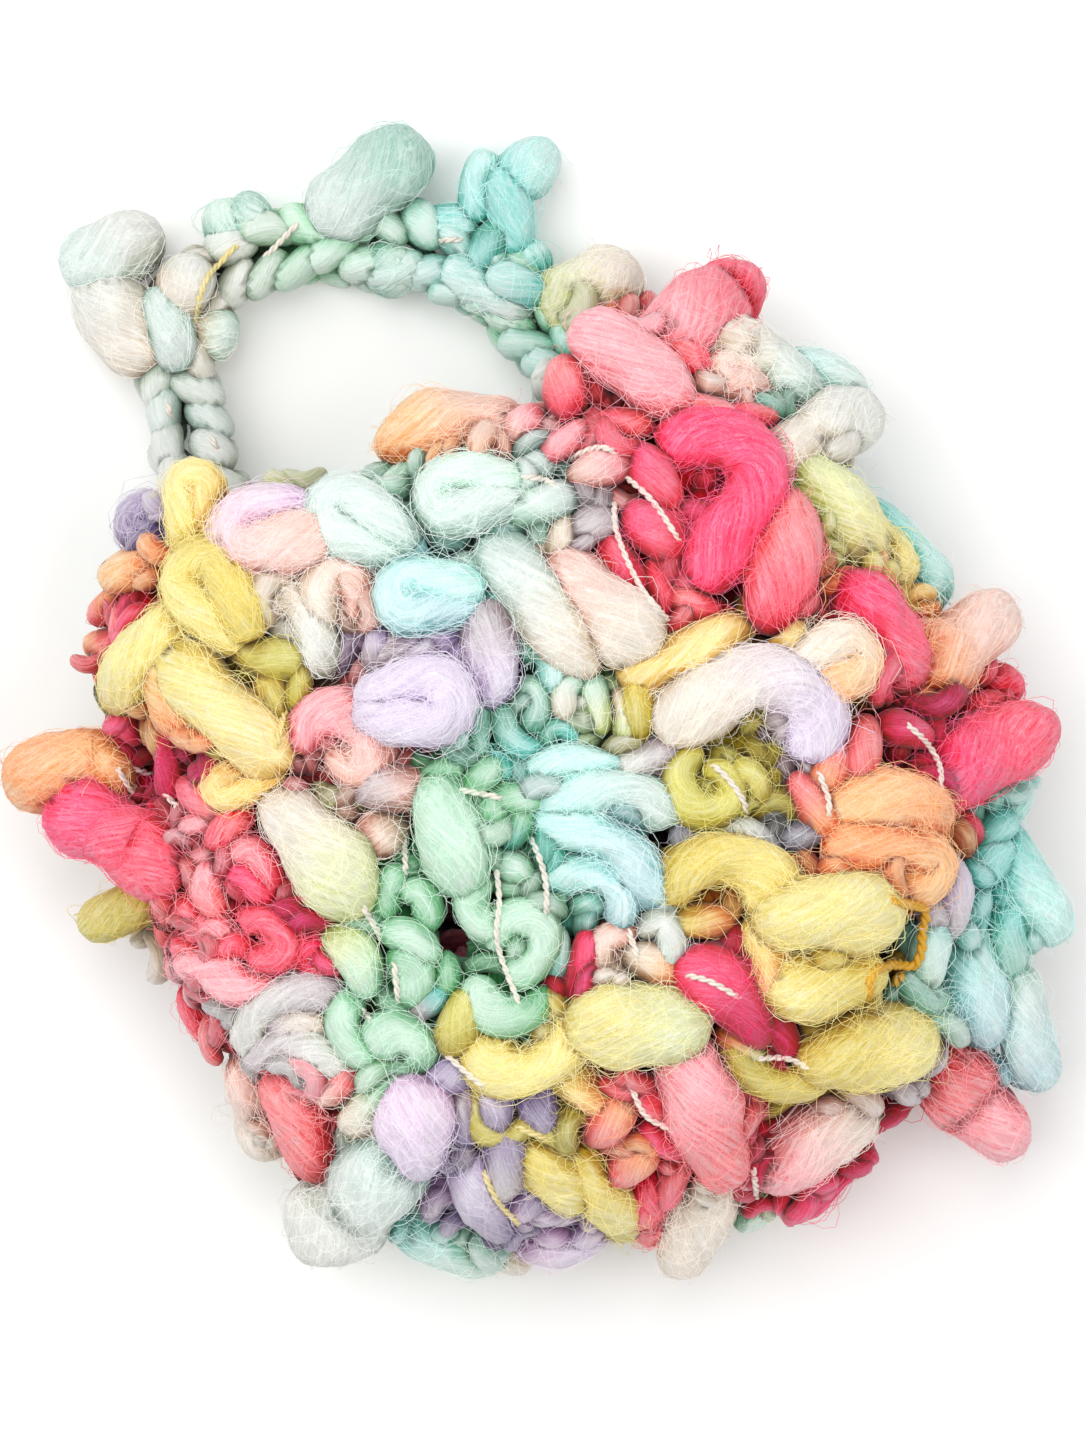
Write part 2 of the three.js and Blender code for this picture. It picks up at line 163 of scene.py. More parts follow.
# Fluffy puffs that lie out straight
FINGERS = (
    Slub(-36.2, -36.4, 19, 11.6, 26, -2, Dye.WHITE, Dye.ICE),
    Slub(-29.3, -45.4, 13, 8.6, -55, -4, Dye.AQUA_PALE, Dye.MINT_ICE),
    Slub(-16.5, -49.8, 9.4, 8.6, -20, -3, Dye.LILAC_PINK, Dye.LILAC),
    Slub(0, -53, 14, 9, 55, -3.5, Dye.CREAM),
    Slub(51.5, -12.7, 17, 10.4, 6, -1, Dye.HOT_PINK, Dye.CORAL),
    Slub(44.3, 5.7, 13.5, 9, -75, 0.5, Dye.HOT_PINK, Dye.CORAL),
    Slub(35.8, 16.7, 15, 9, 60, 1.2, Dye.CORAL, Dye.SALMON),
    Slub(-49.2, 13, 18, 10, 130, 1, Dye.CORAL, Dye.HOT_PINK),
    Slub(36.4, 48, 17, 10.2, 20, -3.5, Dye.PINK, Dye.CORAL),
    Slub(-52, 22.6, 15.5, 10.8, 165, -3, Dye.PEACH, Dye.APRICOT),
    Slub(25, -40.5, 13.5, 10.2, -10, 1, Dye.YELLOW, Dye.LEMON),
    Slub(-27.5, -31, 10, 9.4, 80, 1.5, Dye.LILAC, Dye.LILAC_PINK),
    Slub(27.8, 44.7, 16, 8.4, -58, 1, Dye.PINK),
    Slub(4.6, 44.6, 15.5, 11.2, -10, -5, Dye.PEACH, Dye.BLUSH),
    Slub(-35, 42, 9.5, 5.6, -15, -1, Dye.PEACH, Dye.APRICOT),
    Slub(-38.5, 32.3, 13, 8, 32, 1, Dye.LEMON),
    Slub(-36.5, 26.8, 12, 8, -80, 0, Dye.PEACH_YELLOW, Dye.APRICOT),
    Slub(-31.8, 22.7, 18.5, 8.5, -65, 2, Dye.LEMON, Dye.BUTTER),
    Slub(-18.5, 45.5, 9, 5, 10, -20, Dye.YELLOW_GREEN),
    Slub(-3, 41.5, 6, 4, 15, 0, Dye.MINT_ICE),
    Slub(41.5, 51.5, 8, 5, 0, -9, Dye.YELLOW_GREEN, Dye.CREAM),
    Slub(33.5, 43.5, 8, 6, -60, 0, Dye.SALMON, Dye.CORAL),
    Slub(-0.5, 18.5, 11, 8, 70, 0.6, Dye.LILAC, Dye.GREY_LILAC),
    Slub(7.5, 21.5, 18.5, 8.3, -72, 1, Dye.ICE, Dye.CREAM),
    Slub(14.3, 19.3, 15.5, 8.8, -65, 1, Dye.BLUSH, Dye.CREAM),
    Slub(42, 40.2, 16, 9, -50, -1.5, Dye.CREAM, Dye.ICE),
    Slub(47.5, 36.3, 13, 8, -40, -5, Dye.AQUA_PALE, Dye.ICE),
    Slub(42, 35, 7, 5, -20, -2, Dye.SEAFOAM, Dye.MINT),
    Slub(44.8, 29.8, 16.5, 8.3, 8, -1, Dye.CREAM, Dye.WHITE),
    Slub(45, 18.8, 18.5, 9.6, -68, -0.5, Dye.YELLOW_GREEN, Dye.LEMON),
    Slub(50.5, 13.5, 15, 7, -70, -5, Dye.AQUA, Dye.AQUA_PALE),
    Slub(-50, 5.3, 15, 6.2, 8, -6, Dye.OLIVE, Dye.YELLOW),
    Slub(-48, 0.5, 8, 5, 80, -8, Dye.CREAM),
    Slub(49.5, 7, 6.5, 4.5, -45, -1, Dye.BUTTER, Dye.PEACH),
    Slub(52.3, 0.3, 16, 9.7, 15, -2, Dye.APRICOT, Dye.BLUSH),
    Slub(52.5, -5.7, 12, 6.8, -5, -5, Dye.CORAL),
    Slub(-27, 3.5, 16, 9.6, -72, 1.5, Dye.CREAM, Dye.YELLOW_GREEN),
    Slub(-16.3, 7.7, 9, 6.5, -30, 0, Dye.GREY_LILAC, Dye.BLUSH),
    Slub(-19.5, 3, 6, 5.5, 0, -0.5, Dye.BLUSH, Dye.CREAM),
    Slub(-11.9, 0, 13.5, 8.6, 85, 1, Dye.MINT),
    Slub(21.5, 10.7, 15.5, 6.5, 3, 0.5, Dye.BUTTER),
    Slub(14.5, 7, 8, 5, 60, 0, Dye.OLIVE, Dye.YELLOW),
    Slub(13, 0.5, 9, 4.5, 10, 0.5, Dye.WHITE, Dye.GREY_LILAC),
    Slub(-44.5, -22.3, 12.5, 8, 78, -5, Dye.CREAM, Dye.BLUSH),
    Slub(-40.2, -25.3, 13.5, 8, 88, -3, Dye.SALMON),
    Slub(-30.8, -27, 9, 6, 20, 0, Dye.CREAM, Dye.MINT),
    Slub(-24, -47.5, 10, 6, -65, -7, Dye.MINT_ICE, Dye.CREAM),
    Slub(1.2, -28.5, 14.5, 10.3, -20, 2, Dye.LEMON, Dye.YELLOW_GREEN),
    Slub(-7.5, -33, 9, 5.5, -60, 0, Dye.LEMON, Dye.PEACH),
    Slub(5, -40.5, 17, 9.2, 90, 2, Dye.SALMON, Dye.PINK),
    Slub(-14.4, -42, 10, 6.5, -60, 0, Dye.YELLOW, Dye.LEMON),
    Slub(-9.8, -45.8, 12, 6.5, -75, -1, Dye.YELLOW, Dye.LEMON),
    Slub(8.5, -54, 10, 5.6, 40, -5, Dye.MINT_ICE, Dye.YELLOW_GREEN),
    Slub(16, -48.8, 15, 11, 12, -1, Dye.PINK, Dye.CREAM),
    Slub(16, -54, 13, 7.5, 15, -3, Dye.HOT_PINK, Dye.CRIMSON),
    Slub(-5.3, -49.7, 9, 6, 75, -2, Dye.SALMON, Dye.CORAL),
    Slub(26.5, -23.7, 15.5, 10.3, -20, 2, Dye.LEMON),
    Slub(18.5, -26.8, 11, 6, 80, 0.8, Dye.PEACH, Dye.LEMON),
    Slub(23, -31.3, 13, 8.8, -10, 1, Dye.LEMON, Dye.YELLOW),
    Slub(31.5, -42, 13, 7.5, 50, -1, Dye.GREY_LILAC, bow=-1),
    Slub(26.5, -48, 10, 6, 28, -4, Dye.CRIMSON),
    Slub(35.6, -51, 17.5, 9.6, -65, -4, Dye.SALMON, Dye.PINK),
    Slub(40.5, -38.3, 14.5, 9.2, 85, -2, Dye.ICE_BLUE, Dye.AQUA_PALE),
    Slub(44.8, -45, 14, 7.8, 86, -4, Dye.ICE_BLUE, Dye.ICE),
    Slub(46.3, -34.5, 10.5, 6.5, 70, -3, Dye.SEAFOAM, Dye.AQUA),
    Slub(51, -28.8, 16, 7, -80, -3.5, Dye.AQUA, Dye.AQUA_PALE),
    Slub(49.8, -19.5, 11, 8.5, 20, -6, Dye.SEAFOAM, Dye.AQUA_PALE),
)

# Fluffy strands that wind between the stitches
WINDERS = (
    Strand(8, 1, Dye.HOT_PINK, Dye.HOT_PINK, (
        (27.3, 33.8), (31.8, 34.4), (35.9, 32), (37.1, 28), (34.5, 24.2), (30.2, 21.2), (26, 17.5),
    )),
    Strand(8.4, 1.2, Dye.CREAM, Dye.LILAC, (
        (15.9, 2.5), (21.9, 4.8), (28.2, 5.7), (32.5, 2.5), (33.3, -2.2), (30.8, -5.8),
    )),
    Strand(7, 1, Dye.YELLOW, Dye.LEMON, (
        (9.9, -15.7), (12.7, -13.3), (17.5, -13.4), (21.1, -16.6), (21.5, -20.6), (20, -23.9),
    )),
    Strand(7.8, 1, Dye.PEACH, Dye.APRICOT, ((31.2, -12.6), (35.5, -12.9), (40, -14.6), (43.2, -18.3))),
    Strand(7, 0.8, Dye.APRICOT, Dye.PEACH, (
        (29.4, -15.8), (33.2, -17.5), (37.6, -19.4), (40.4, -22.4), (37.9, -24), (34.8, -21.9),
    )),
    Strand(6.2, 1, Dye.PINK, Dye.BLUSH, (
        (-25, 16.2), (-21.9, 18.4), (-17.8, 17.5), (-16.4, 13.6), (-19.2, 10.7), (-21.4, 13.8),
    )),
    Strand(6.8, 1, Dye.LEMON, Dye.LEMON, (
        (-17.1, -23.7), (-16.5, -27), (-13.3, -29), (-8.9, -28.6), (-6, -26.6), (-5.8, -23.6),
    )),
    Strand(6, 0, Dye.GREY_LILAC, Dye.LILAC, ((-13.4, 23.3), (-7.8, 21.7), (-2.2, 21.7))),
    Strand(5.6, 1, Dye.CREAM, Dye.BLUSH, (
        (-17, 28.8), (-16.7, 32.6), (-13.1, 33.5), (-12, 30.4), (-13.4, 28.1),
    )),
    Strand(5.2, 0.5, Dye.CREAM, Dye.WHITE, (
        (-23.6, 30.7), (-22, 33.4), (-19.2, 31.9), (-18.9, 26.8), (-19.2, 23),
    )),
    Strand(4.6, 0.8, Dye.AQUA_PALE, Dye.AQUA_PALE, ((-0.5, 3.8), (2.9, 3.8), (5.8, 2.6), (9.8, 0))),
    Strand(5.4, 1, Dye.AQUA_PALE, Dye.ICE, (
        (-0.8, -0.5), (3.5, -0.4), (8.3, -1.1), (11.6, -3.8), (12.3, -7.2),
    )),
    Strand(5.8, 0.6, Dye.AQUA_PALE, Dye.ICE_BLUE, (
        (-1.8, -1.5), (1.5, -3.5), (4.8, -6), (6.8, -8.9), (7.8, -13.1), (8.2, -15.5),
    )),
    Strand(4.6, 0.6, Dye.AQUA_PALE, Dye.ICE_BLUE, (
        (-2.9, -9.8), (0.3, -9.1), (3.6, -10.5), (4.9, -13.5), (3.2, -16.3),
    )),
    Strand(4.2, 0.8, Dye.CORAL, Dye.SALMON, ((-38.9, 8.4), (-36.4, 10), (-33.2, 11.2))),
    Strand(4.2, 0.8, Dye.PINK, Dye.CORAL, ((-36.5, 6.7), (-34.2, 6.1), (-33.2, 3.6), (-33.3, 0.8))),
    Strand(4.8, 0.8, Dye.PINK, Dye.SALMON, ((-40.1, 6.7), (-41.3, 4), (-40.7, 0.4))),
    Strand(4.2, 0.4, Dye.HOT_PINK, Dye.CORAL, ((-37.8, 4.8), (-35.8, 2.8), (-34.2, -0.5))),
    Strand(5, -2, Dye.SALMON, Dye.SALMON, ((-44.3, 6.3), (-46.8, 3), (-47.7, -1.2))),
    Strand(4, 0.5, Dye.CORAL, Dye.PINK, ((-44.9, -0.7), (-41.9, -0.1), (-40.7, -2.4))),
    Strand(4.6, 0.9, Dye.CORAL, Dye.CORAL, (
        (-38.1, -1), (-35.4, -2), (-34, -5.1), (-36.2, -6.4), (-38.7, -5.3),
    )),
    Strand(5.4, 0.5, Dye.PINK, Dye.PINK, ((-48.6, -3.2), (-44.2, -5.2), (-40.8, -8.6), (-37.5, -9.4))),
    Strand(5.4, -2, Dye.CORAL, Dye.SALMON, ((-48.5, -7), (-47.4, -10.4), (-45.6, -14.1))),
    Strand(4, 0, Dye.CORAL, Dye.HOT_PINK, ((-35.2, -7.8), (-31.7, -7), (-29.6, -9.4))),
    Strand(4, 0, Dye.SALMON, Dye.CORAL, ((-46.6, 1.7), (-43.9, 2.8), (-42.8, 0.7))),
    Strand(4.2, 0, Dye.CORAL, Dye.SALMON, ((-47.5, -1.2), (-45.1, -2.9), (-42.9, -4.4))),
    Strand(5, 0.6, Dye.WHITE, Dye.GREY_LILAC, (
        (-43.5, -15.5), (-40.6, -12.1), (-36.7, -11.3), (-32.3, -12.1), (-31.1, -14.2),
    )),
    Strand(4.8, 0.4, Dye.GREY_LILAC, Dye.WHITE, (
        (-43.4, -17), (-39, -16.5), (-35.4, -18.4), (-32.9, -21.4),
    )),
    Strand(4.4, 0, Dye.GREY_LILAC, Dye.CREAM, ((-40.2, -14.5), (-36.5, -14.4), (-33.1, -16.7))),
)

# Tight strands of the stitches
CHAINS = (
    Strand(4.6, 1, Dye.CHARTREUSE, Dye.CHARTREUSE, (
        (18.8, -0.3), (15.8, -2.3), (15.5, -5.9), (18.2, -7.9), (20.9, -6.8), (20.9, -4), (18.9, -3),
    )),
    Strand(4.4, 0.8, Dye.CHARTREUSE, Dye.OLIVE, ((22.3, -3.6), (24.1, -5.8), (23.9, -8.7))),
    Strand(3, 0.8, Dye.GREY, Dye.WHITE, ((15.4, -7.9), (13.9, -9.3), (14.5, -11.7), (16.6, -12.2))),
    Strand(3.2, 0.8, Dye.WHITE, Dye.GREY, ((19.7, -9.7), (20.5, -12.1), (22.9, -12.6))),
    Strand(4, 0.8, Dye.SEAFOAM, Dye.AQUA_PALE, ((3.2, 16.9), (5.4, 17.8), (6.4, 15.1), (4.9, 11.8))),
    Strand(3.6, 0.8, Dye.MINT_ICE, Dye.SEAFOAM, ((1.3, 13.4), (3.1, 13.3), (3.4, 11.1), (1.1, 8.8))),
    Strand(3.6, 0.8, Dye.SEAFOAM, Dye.AQUA, ((-0.7, 12.2), (-1.4, 9.5), (-0.4, 7), (1.6, 5.6))),
    Strand(4, 0.6, Dye.SEAFOAM, Dye.SEAFOAM, ((-2.9, 13), (-5, 10.8), (-5.8, 7.4))),
    Strand(3.4, 0.5, Dye.AQUA, Dye.TEAL, ((-4.4, 7.1), (-3.3, 5.5), (-1.8, 4.5))),
    Strand(3.8, 0.8, Dye.MINT_ICE, Dye.CREAM, ((9.1, 12.2), (6.7, 11.4), (5.4, 8.5))),
    Strand(3.6, 0.8, Dye.MINT_ICE, Dye.YELLOW_GREEN, ((10.1, 11.9), (9.8, 8.8), (9.2, 5.4))),
    Strand(3.4, 0.6, Dye.CREAM, Dye.YELLOW_GREEN, ((12.5, 9.3), (12.6, 6.5), (11.2, 3.8))),
    Strand(2.8, 0.5, Dye.SEAFOAM, Dye.AQUA, ((2.3, 5.8), (3.4, 7.7), (5.3, 7), (5.5, 5))),
    Strand(3.6, 0.3, Dye.AQUA, Dye.TEAL, ((-2.7, -3.3), (-1, -5.6), (-2, -8.9))),
    Strand(4.4, 0.8, Dye.MINT, Dye.MINT, ((-9.4, -5.9), (-12.2, -7.9), (-11.9, -11.2), (-9.5, -12.1))),
    Strand(4.8, 1, Dye.MINT, Dye.MINT, (
        (-11.5, -14.1), (-9.1, -11.6), (-6.3, -12.2), (-5.3, -14.7), (-7.4, -17.3), (-10.8, -18),
    )),
    Strand(3.4, 0.5, Dye.GREY_LILAC, Dye.WHITE, ((11.2, -0.9), (14.6, -0.2), (18.2, 0.2))),
    Strand(3.6, 0.8, Dye.BLUSH, Dye.CREAM, ((4.4, -17.8), (1, -17.8), (-0.5, -20.7), (1.5, -22.9))),
    Strand(4, 0.8, Dye.WHITE, Dye.ICE, ((5.3, -18.3), (8.2, -17.9), (8.3, -20.9), (5.7, -23.6))),
    Strand(4, 0.6, Dye.MINT, Dye.MINT_DEEP, ((-18.5, -1.6), (-21.4, -3.3), (-21.9, -6.3))),
    Strand(3.8, 0.5, Dye.MINT, Dye.MINT_DEEP, (
        (-19.5, -4.4), (-17.4, -5.2), (-17.4, -7.7), (-18.9, -9.3),
    )),
    Strand(4.6, 0.9, Dye.MINT, Dye.MINT, ((-23.2, -7.7), (-20.3, -9.6), (-18.7, -12.8))),
    Strand(5, 0.8, Dye.MINT_DEEP, Dye.MINT, ((-23.2, -11.1), (-21.3, -13.5), (-23, -17))),
    Strand(5.8, 0.9, Dye.YELLOW_GREEN, Dye.MINT, ((-29.1, -5.6), (-27, -9.3), (-27.3, -13.9))),
    Strand(5, 0.6, Dye.MINT, Dye.MINT, ((-28.8, -13.6), (-31.4, -16.2), (-31.2, -19.7), (-28.8, -21.9))),
    Strand(5.8, 0.9, Dye.MINT, Dye.MINT, (
        (-29.1, -19.6), (-25.7, -19.6), (-23.6, -22.1), (-25.1, -24.1),
    )),
    Strand(3.6, 0, Dye.CRIMSON, Dye.CRIMSON, ((-33.3, -1.9), (-32.1, -3.4), (-30.1, -4.4))),
    Strand(3.8, 0, Dye.CRIMSON, Dye.CORAL, ((-34.8, -9), (-32, -10.1), (-29.7, -11.4))),
    Strand(3.6, 0.4, Dye.CORAL, Dye.CORAL, ((-42.4, -4.2), (-40.2, -3.5), (-38.9, -5.2))),
    Strand(5.2, 1, Dye.MINT, Dye.MINT_DEEP, (
        (-14.1, -17.2), (-15.3, -19.5), (-13.2, -22.1), (-9.8, -22.8), (-7.6, -20.8),
    )),
    Strand(3.8, 1, Dye.OLIVE, Dye.OLIVE, (
        (-19.5, -29), (-20.4, -33), (-18, -35.7), (-15.1, -35.2), (-13, -36.9), (-11.1, -40),
    )),
    Strand(5.2, 1, Dye.OLIVE, Dye.YELLOW, (
        (10.9, -33.5), (11.5, -37.8), (14.7, -41.1), (18.9, -41.5), (20.4, -38.4),
    )),
    Strand(8, 0.8, Dye.HOT_PINK, Dye.CRIMSON, ((7.8, -24), (12.2, -27.8), (14.3, -35.1))),
    Strand(5, -0.5, Dye.PEACH_YELLOW, Dye.APRICOT, ((40, 24), (43, 19.5), (45.8, 13.8))),
)

# Tight, smooth loops of the thin yarn between the puffs
FRONT_BEADS = (
    Slub(19, 45, 7.5, 5.5, 75, 0, Dye.CORAL, Dye.SALMON),
    Slub(-4.5, -2, 4.4, 3.4, -10, 0.8, Dye.MINT_ICE, Dye.MINT),
    Slub(-6.1, -6.1, 4.6, 4, -50, 0.8, Dye.MINT_ICE, Dye.MINT),
    Slub(-3.1, 1.5, 4.4, 3.2, -20, 0.8, Dye.MINT_DEEP, Dye.MINT),
    Slub(-6.3, 5, 4.4, 3.4, -20, 0.8, Dye.MINT_DEEP, Dye.MINT),
    Slub(-4.8, -17.4, 5.6, 3.2, 60, 0.4, Dye.AQUA_PALE, Dye.MINT_ICE),
    Slub(1, -13.1, 5.5, 4.2, 0, -0.8, Dye.SEAFOAM, Dye.AQUA_PALE),
    Slub(-37.9, 14, 6.4, 4.6, -55, 0.8, Dye.CORAL, Dye.SALMON),
    Slub(-39.5, -21.4, 6.4, 4.8, -20, -1.5, Dye.SALMON, Dye.PINK),
    Slub(-34.5, -23, 5, 4.4, 40, -1.5, Dye.SALMON, Dye.BLUSH),
    Slub(17, 39, 6.5, 4.5, 10, 1, Dye.PINK),
    Slub(23.7, 38.7, 7, 4.5, -15, 1, Dye.CORAL, Dye.SALMON),
    Slub(19.7, 34.7, 7, 5.3, 0, 1.2, Dye.BLUSH, Dye.PINK),
    Slub(11, 33.3, 8.5, 6, -10, 1, Dye.MINT_ICE, Dye.ICE),
    Slub(12, 37.3, 5.5, 4, 20, 1, Dye.ICE),
    Slub(16.5, 28.7, 5, 5, 0, 1, Dye.GREY_LILAC),
    Slub(12.5, 28.5, 5.5, 4.5, 60, 0.8, Dye.CREAM),
    Slub(25.3, 31.3, 8, 5.5, -75, 1.2, Dye.HOT_PINK, Dye.CORAL),
    Slub(23, 25.7, 8, 6, -60, 1, Dye.HOT_PINK, Dye.CORAL),
    Slub(18, 23, 8, 4.5, -75, 0.8, Dye.CORAL, Dye.HOT_PINK),
    Slub(21.2, 18.5, 7.5, 3.5, 85, 0.8, Dye.CORAL),
    Slub(24.3, 15.6, 6.5, 3.8, -35, 1, Dye.SALMON, Dye.CORAL),
    Slub(12.5, 42.5, 6, 4.5, 30, 0, Dye.BLUSH, Dye.PINK),
    Slub(38.8, 34.5, 5.5, 4, -20, 1, Dye.CORAL, Dye.SALMON),
    Slub(34, 36.5, 8, 4.5, -30, 1, Dye.SALMON, Dye.PINK),
    Slub(-45, 24.3, 8.5, 4.5, 72, 0, Dye.CRIMSON, Dye.HOT_PINK),
    Slub(-40.3, 20, 9.5, 4, 75, 0, Dye.CRIMSON),
    Slub(-39.7, 11.7, 4, 3.5, 0, 1.2, Dye.PINK),
    Slub(-38.5, 37, 4.5, 3.5, 30, 0, Dye.HOT_PINK, Dye.CORAL),
    Slub(41.5, 12.5, 4.5, 3.5, 0, 0.5, Dye.APRICOT, Dye.ORANGE),
    Slub(44.5, 12, 4.5, 3.5, 30, 0.5, Dye.APRICOT, Dye.PEACH),
    Slub(33, 7.3, 6, 3.5, 80, 1, Dye.BUTTER),
    Slub(43, -6.7, 6, 4.8, -40, 0.8, Dye.CRIMSON, Dye.HOT_PINK),
    Slub(46.4, -7.2, 6.5, 4, 80, 0.5, Dye.CRIMSON),
    Slub(44.8, -12.3, 5.5, 4, -30, 0, Dye.CRIMSON),
    Slub(45.5, -17.3, 7, 4, -75, -0.5, Dye.CRIMSON, Dye.CORAL),
    Slub(37, -7.3, 8, 5.5, 60, 0.5, Dye.SALMON),
    Slub(48.5, -4.5, 6, 4.5, 10, -0.5, Dye.ORANGE, Dye.CORAL),
    Slub(29.5, -11.3, 8, 5, -80, 1, Dye.SALMON, Dye.APRICOT),
    Slub(33, -8, 6.5, 5, 40, 1, Dye.APRICOT, Dye.SALMON),
    Slub(-25, 27, 8, 5.5, -35, 1, Dye.OLIVE, Dye.CHARTREUSE),
    Slub(-26.3, 22.3, 6.5, 5, 75, 1, Dye.OLIVE, Dye.YELLOW),
    Slub(-23, 22.3, 5.5, 4.3, 60, 1, Dye.CHARTREUSE, Dye.OLIVE),
    Slub(-26.5, 17.7, 6, 4.8, 45, 1, Dye.BUTTER, Dye.YELLOW),
    Slub(1.5, 28, 6, 4.3, -50, 1, Dye.ICE, Dye.AQUA_PALE),
    Slub(2, 24.5, 5.5, 4, 10, 1, Dye.AQUA, Dye.AQUA_PALE),
    Slub(-12.5, 23.5, 5, 4, 60, 1, Dye.GREY_LILAC, Dye.LILAC),
    Slub(-10, 7.3, 5, 4.5, 0, 1, Dye.MINT_DEEP, Dye.MINT),
    Slub(-6, 5.2, 5, 4.5, 20, 1, Dye.MINT_DEEP, Dye.MINT),
    Slub(-3, 1.5, 6.5, 4, -20, 1, Dye.MINT_DEEP, Dye.MINT),
    Slub(-6.3, 0.8, 5, 4.3, 60, 1, Dye.MINT, Dye.MINT_DEEP),
    Slub(-4.3, -2, 5, 4, 40, 1, Dye.TEAL, Dye.MINT_DEEP),
    Slub(-1.5, -5, 5.5, 3.5, 60, 0.8, Dye.TEAL),
    Slub(-18.3, -16, 6.5, 3.5, 70, 0, Dye.MINT_DEEP),
    Slub(-21, -17.6, 4.5, 3.8, 20, 0.8, Dye.GREY_LILAC, Dye.AQUA),
    Slub(21.8, -13, 6.5, 4, -70, 0.8, Dye.WHITE, Dye.GREY),
    Slub(27.3, -14.3, 5, 4.3, 0, 0.5, Dye.GREY),
    Slub(-2.7, -20, 8.5, 4, 58, 0.8, Dye.CRIMSON, Dye.HOT_PINK),
    Slub(-5.5, -38, 7, 5.5, 30, 1, Dye.SALMON, Dye.APRICOT),
    Slub(-2.7, -34.8, 5.5, 4.5, -30, 1, Dye.SALMON, Dye.CORAL),
    Slub(0, -38, 6.5, 5, -60, 1, Dye.CORAL, Dye.SALMON),
    Slub(-0.5, -42.5, 6, 5, -60, 0.8, Dye.HOT_PINK, Dye.CORAL),
    Slub(-5, -44, 6.5, 5, 30, 0.8, Dye.SALMON, Dye.APRICOT),
    Slub(-1, -47.5, 6.5, 4.5, 50, 0, Dye.CORAL, Dye.SALMON),
    Slub(8.3, -49.6, 6, 4, -70, 0, Dye.CRIMSON, Dye.CORAL),
    Slub(12, -35, 6.5, 4, -60, 1, Dye.PEACH, Dye.YELLOW_GREEN),
    Slub(10.7, -40.5, 8, 3.8, 80, 0.5, Dye.SALMON, Dye.PINK),
    Slub(-34.5, -23, 6, 4.5, 20, 0, Dye.BLUSH, Dye.SALMON),
    Slub(47, -25.2, 7.5, 5.5, 20, -0.5, Dye.AQUA),
    Slub(48.3, -22, 7.5, 5, 10, -1, Dye.TEAL, Dye.AQUA),
    Slub(41, -27.7, 8.5, 6.3, 65, 0.5, Dye.GREY_LILAC, Dye.LILAC),
    Slub(36.7, -32.8, 8, 5.5, 60, 0.5, Dye.MINT_ICE, Dye.AQUA_PALE),
    Slub(34.7, -38, 9, 5, -65, 0.3, Dye.SEAFOAM, Dye.MINT_ICE),
    Slub(43, -31.5, 6.5, 5, 60, 0, Dye.AQUA_PALE, Dye.AQUA),
    Slub(12.5, -19.5, 7, 5, -20, 0, Dye.YELLOW, Dye.PEACH),
    Slub(-18, -32, 5.5, 4.4, 75, 1.2, Dye.LAVENDER, Dye.LILAC),
    Slub(-21.8, -31.5, 7, 4.4, 80, 0.8, Dye.LAVENDER, Dye.GREY_LILAC),
    Slub(-13.2, -33.8, 6.5, 4.6, 90, 0.8, Dye.LAVENDER),
    Slub(-19, -38.4, 8, 5.6, 70, 0.8, Dye.GREY_LILAC, Dye.LAVENDER),
    Slub(-22.9, -42, 10.5, 6.2, 95, 0.8, Dye.LAVENDER, Dye.LILAC, 0.5),
    Slub(-21.2, -26.6, 7, 4.8, 8, 0.8, Dye.LILAC, Dye.LAVENDER),
    Slub(-18.6, -44.4, 6.5, 4.6, 15, 0, Dye.LILAC_PINK, Dye.LAVENDER),
    Slub(-18.2, -21, 8, 5.4, 48, 1, Dye.OLIVE, Dye.CHARTREUSE),
    Slub(5.6, -22.5, 7, 5.2, -40, 0.6, Dye.CREAM, Dye.PEACH),
    Slub(16.9, -35, 7.5, 4.6, -80, 0.5, Dye.CRIMSON),
    Slub(-41.3, 39.9, 5, 4.4, 20, -2.5, Dye.SALMON, Dye.APRICOT),
    Slub(-40.2, 36.7, 5.5, 4.6, 70, -2, Dye.CORAL, Dye.SALMON),
    Slub(-43, 35.6, 5, 4.5, -20, -4, Dye.APRICOT, Dye.SALMON),
    Slub(-41.5, 33.3, 5.5, 4.4, 40, -2.5, Dye.SALMON, Dye.CORAL),
    Slub(-44.2, 32, 5.5, 4.8, 80, -4.5, Dye.CORAL, Dye.SALMON),
    Slub(-41.6, 30, 5.5, 4.4, -30, -2, Dye.SALMON, Dye.PINK),
    Slub(-39.4, 35.3, 4.5, 4, 10, -0.5, Dye.HOT_PINK, Dye.CORAL),
)

# The yarn's run of dyes, as it comes off the ball
DYE_RUN = (
    Dye.MINT, Dye.SEAFOAM, Dye.AQUA, Dye.ICE, Dye.CREAM, Dye.BLUSH, Dye.PINK,
    Dye.HOT_PINK, Dye.CORAL, Dye.PEACH, Dye.BUTTER, Dye.LEMON, Dye.YELLOW_GREEN, Dye.WHITE,
    Dye.LILAC, Dye.GREY_LILAC,
)


def dye_ends(rows: tuple[Any, ...]) -> tuple[Array, Array]:
    """The dyes at the roots and at the tips of rows of slubs or strands."""
    tips = [(row.tip or row.root).light for row in rows]
    return np.array([row.root.light for row in rows]), np.array(tips)


def dye_along(run: tuple[Dye, ...], step: Array) -> Array:
    """Blend the dyes of a run.

    Args:
        run: the dyes in their order.
        step: places along the run, counted in dyes from its start.

    Returns:
        A linear colour for each place.
    """
    lights = np.array([dye.light for dye in run])
    low = step.astype(int)
    mix = (step - low)[:, None]
    return lights[low] * (1 - mix) + lights[(low + 1) % len(run)] * mix


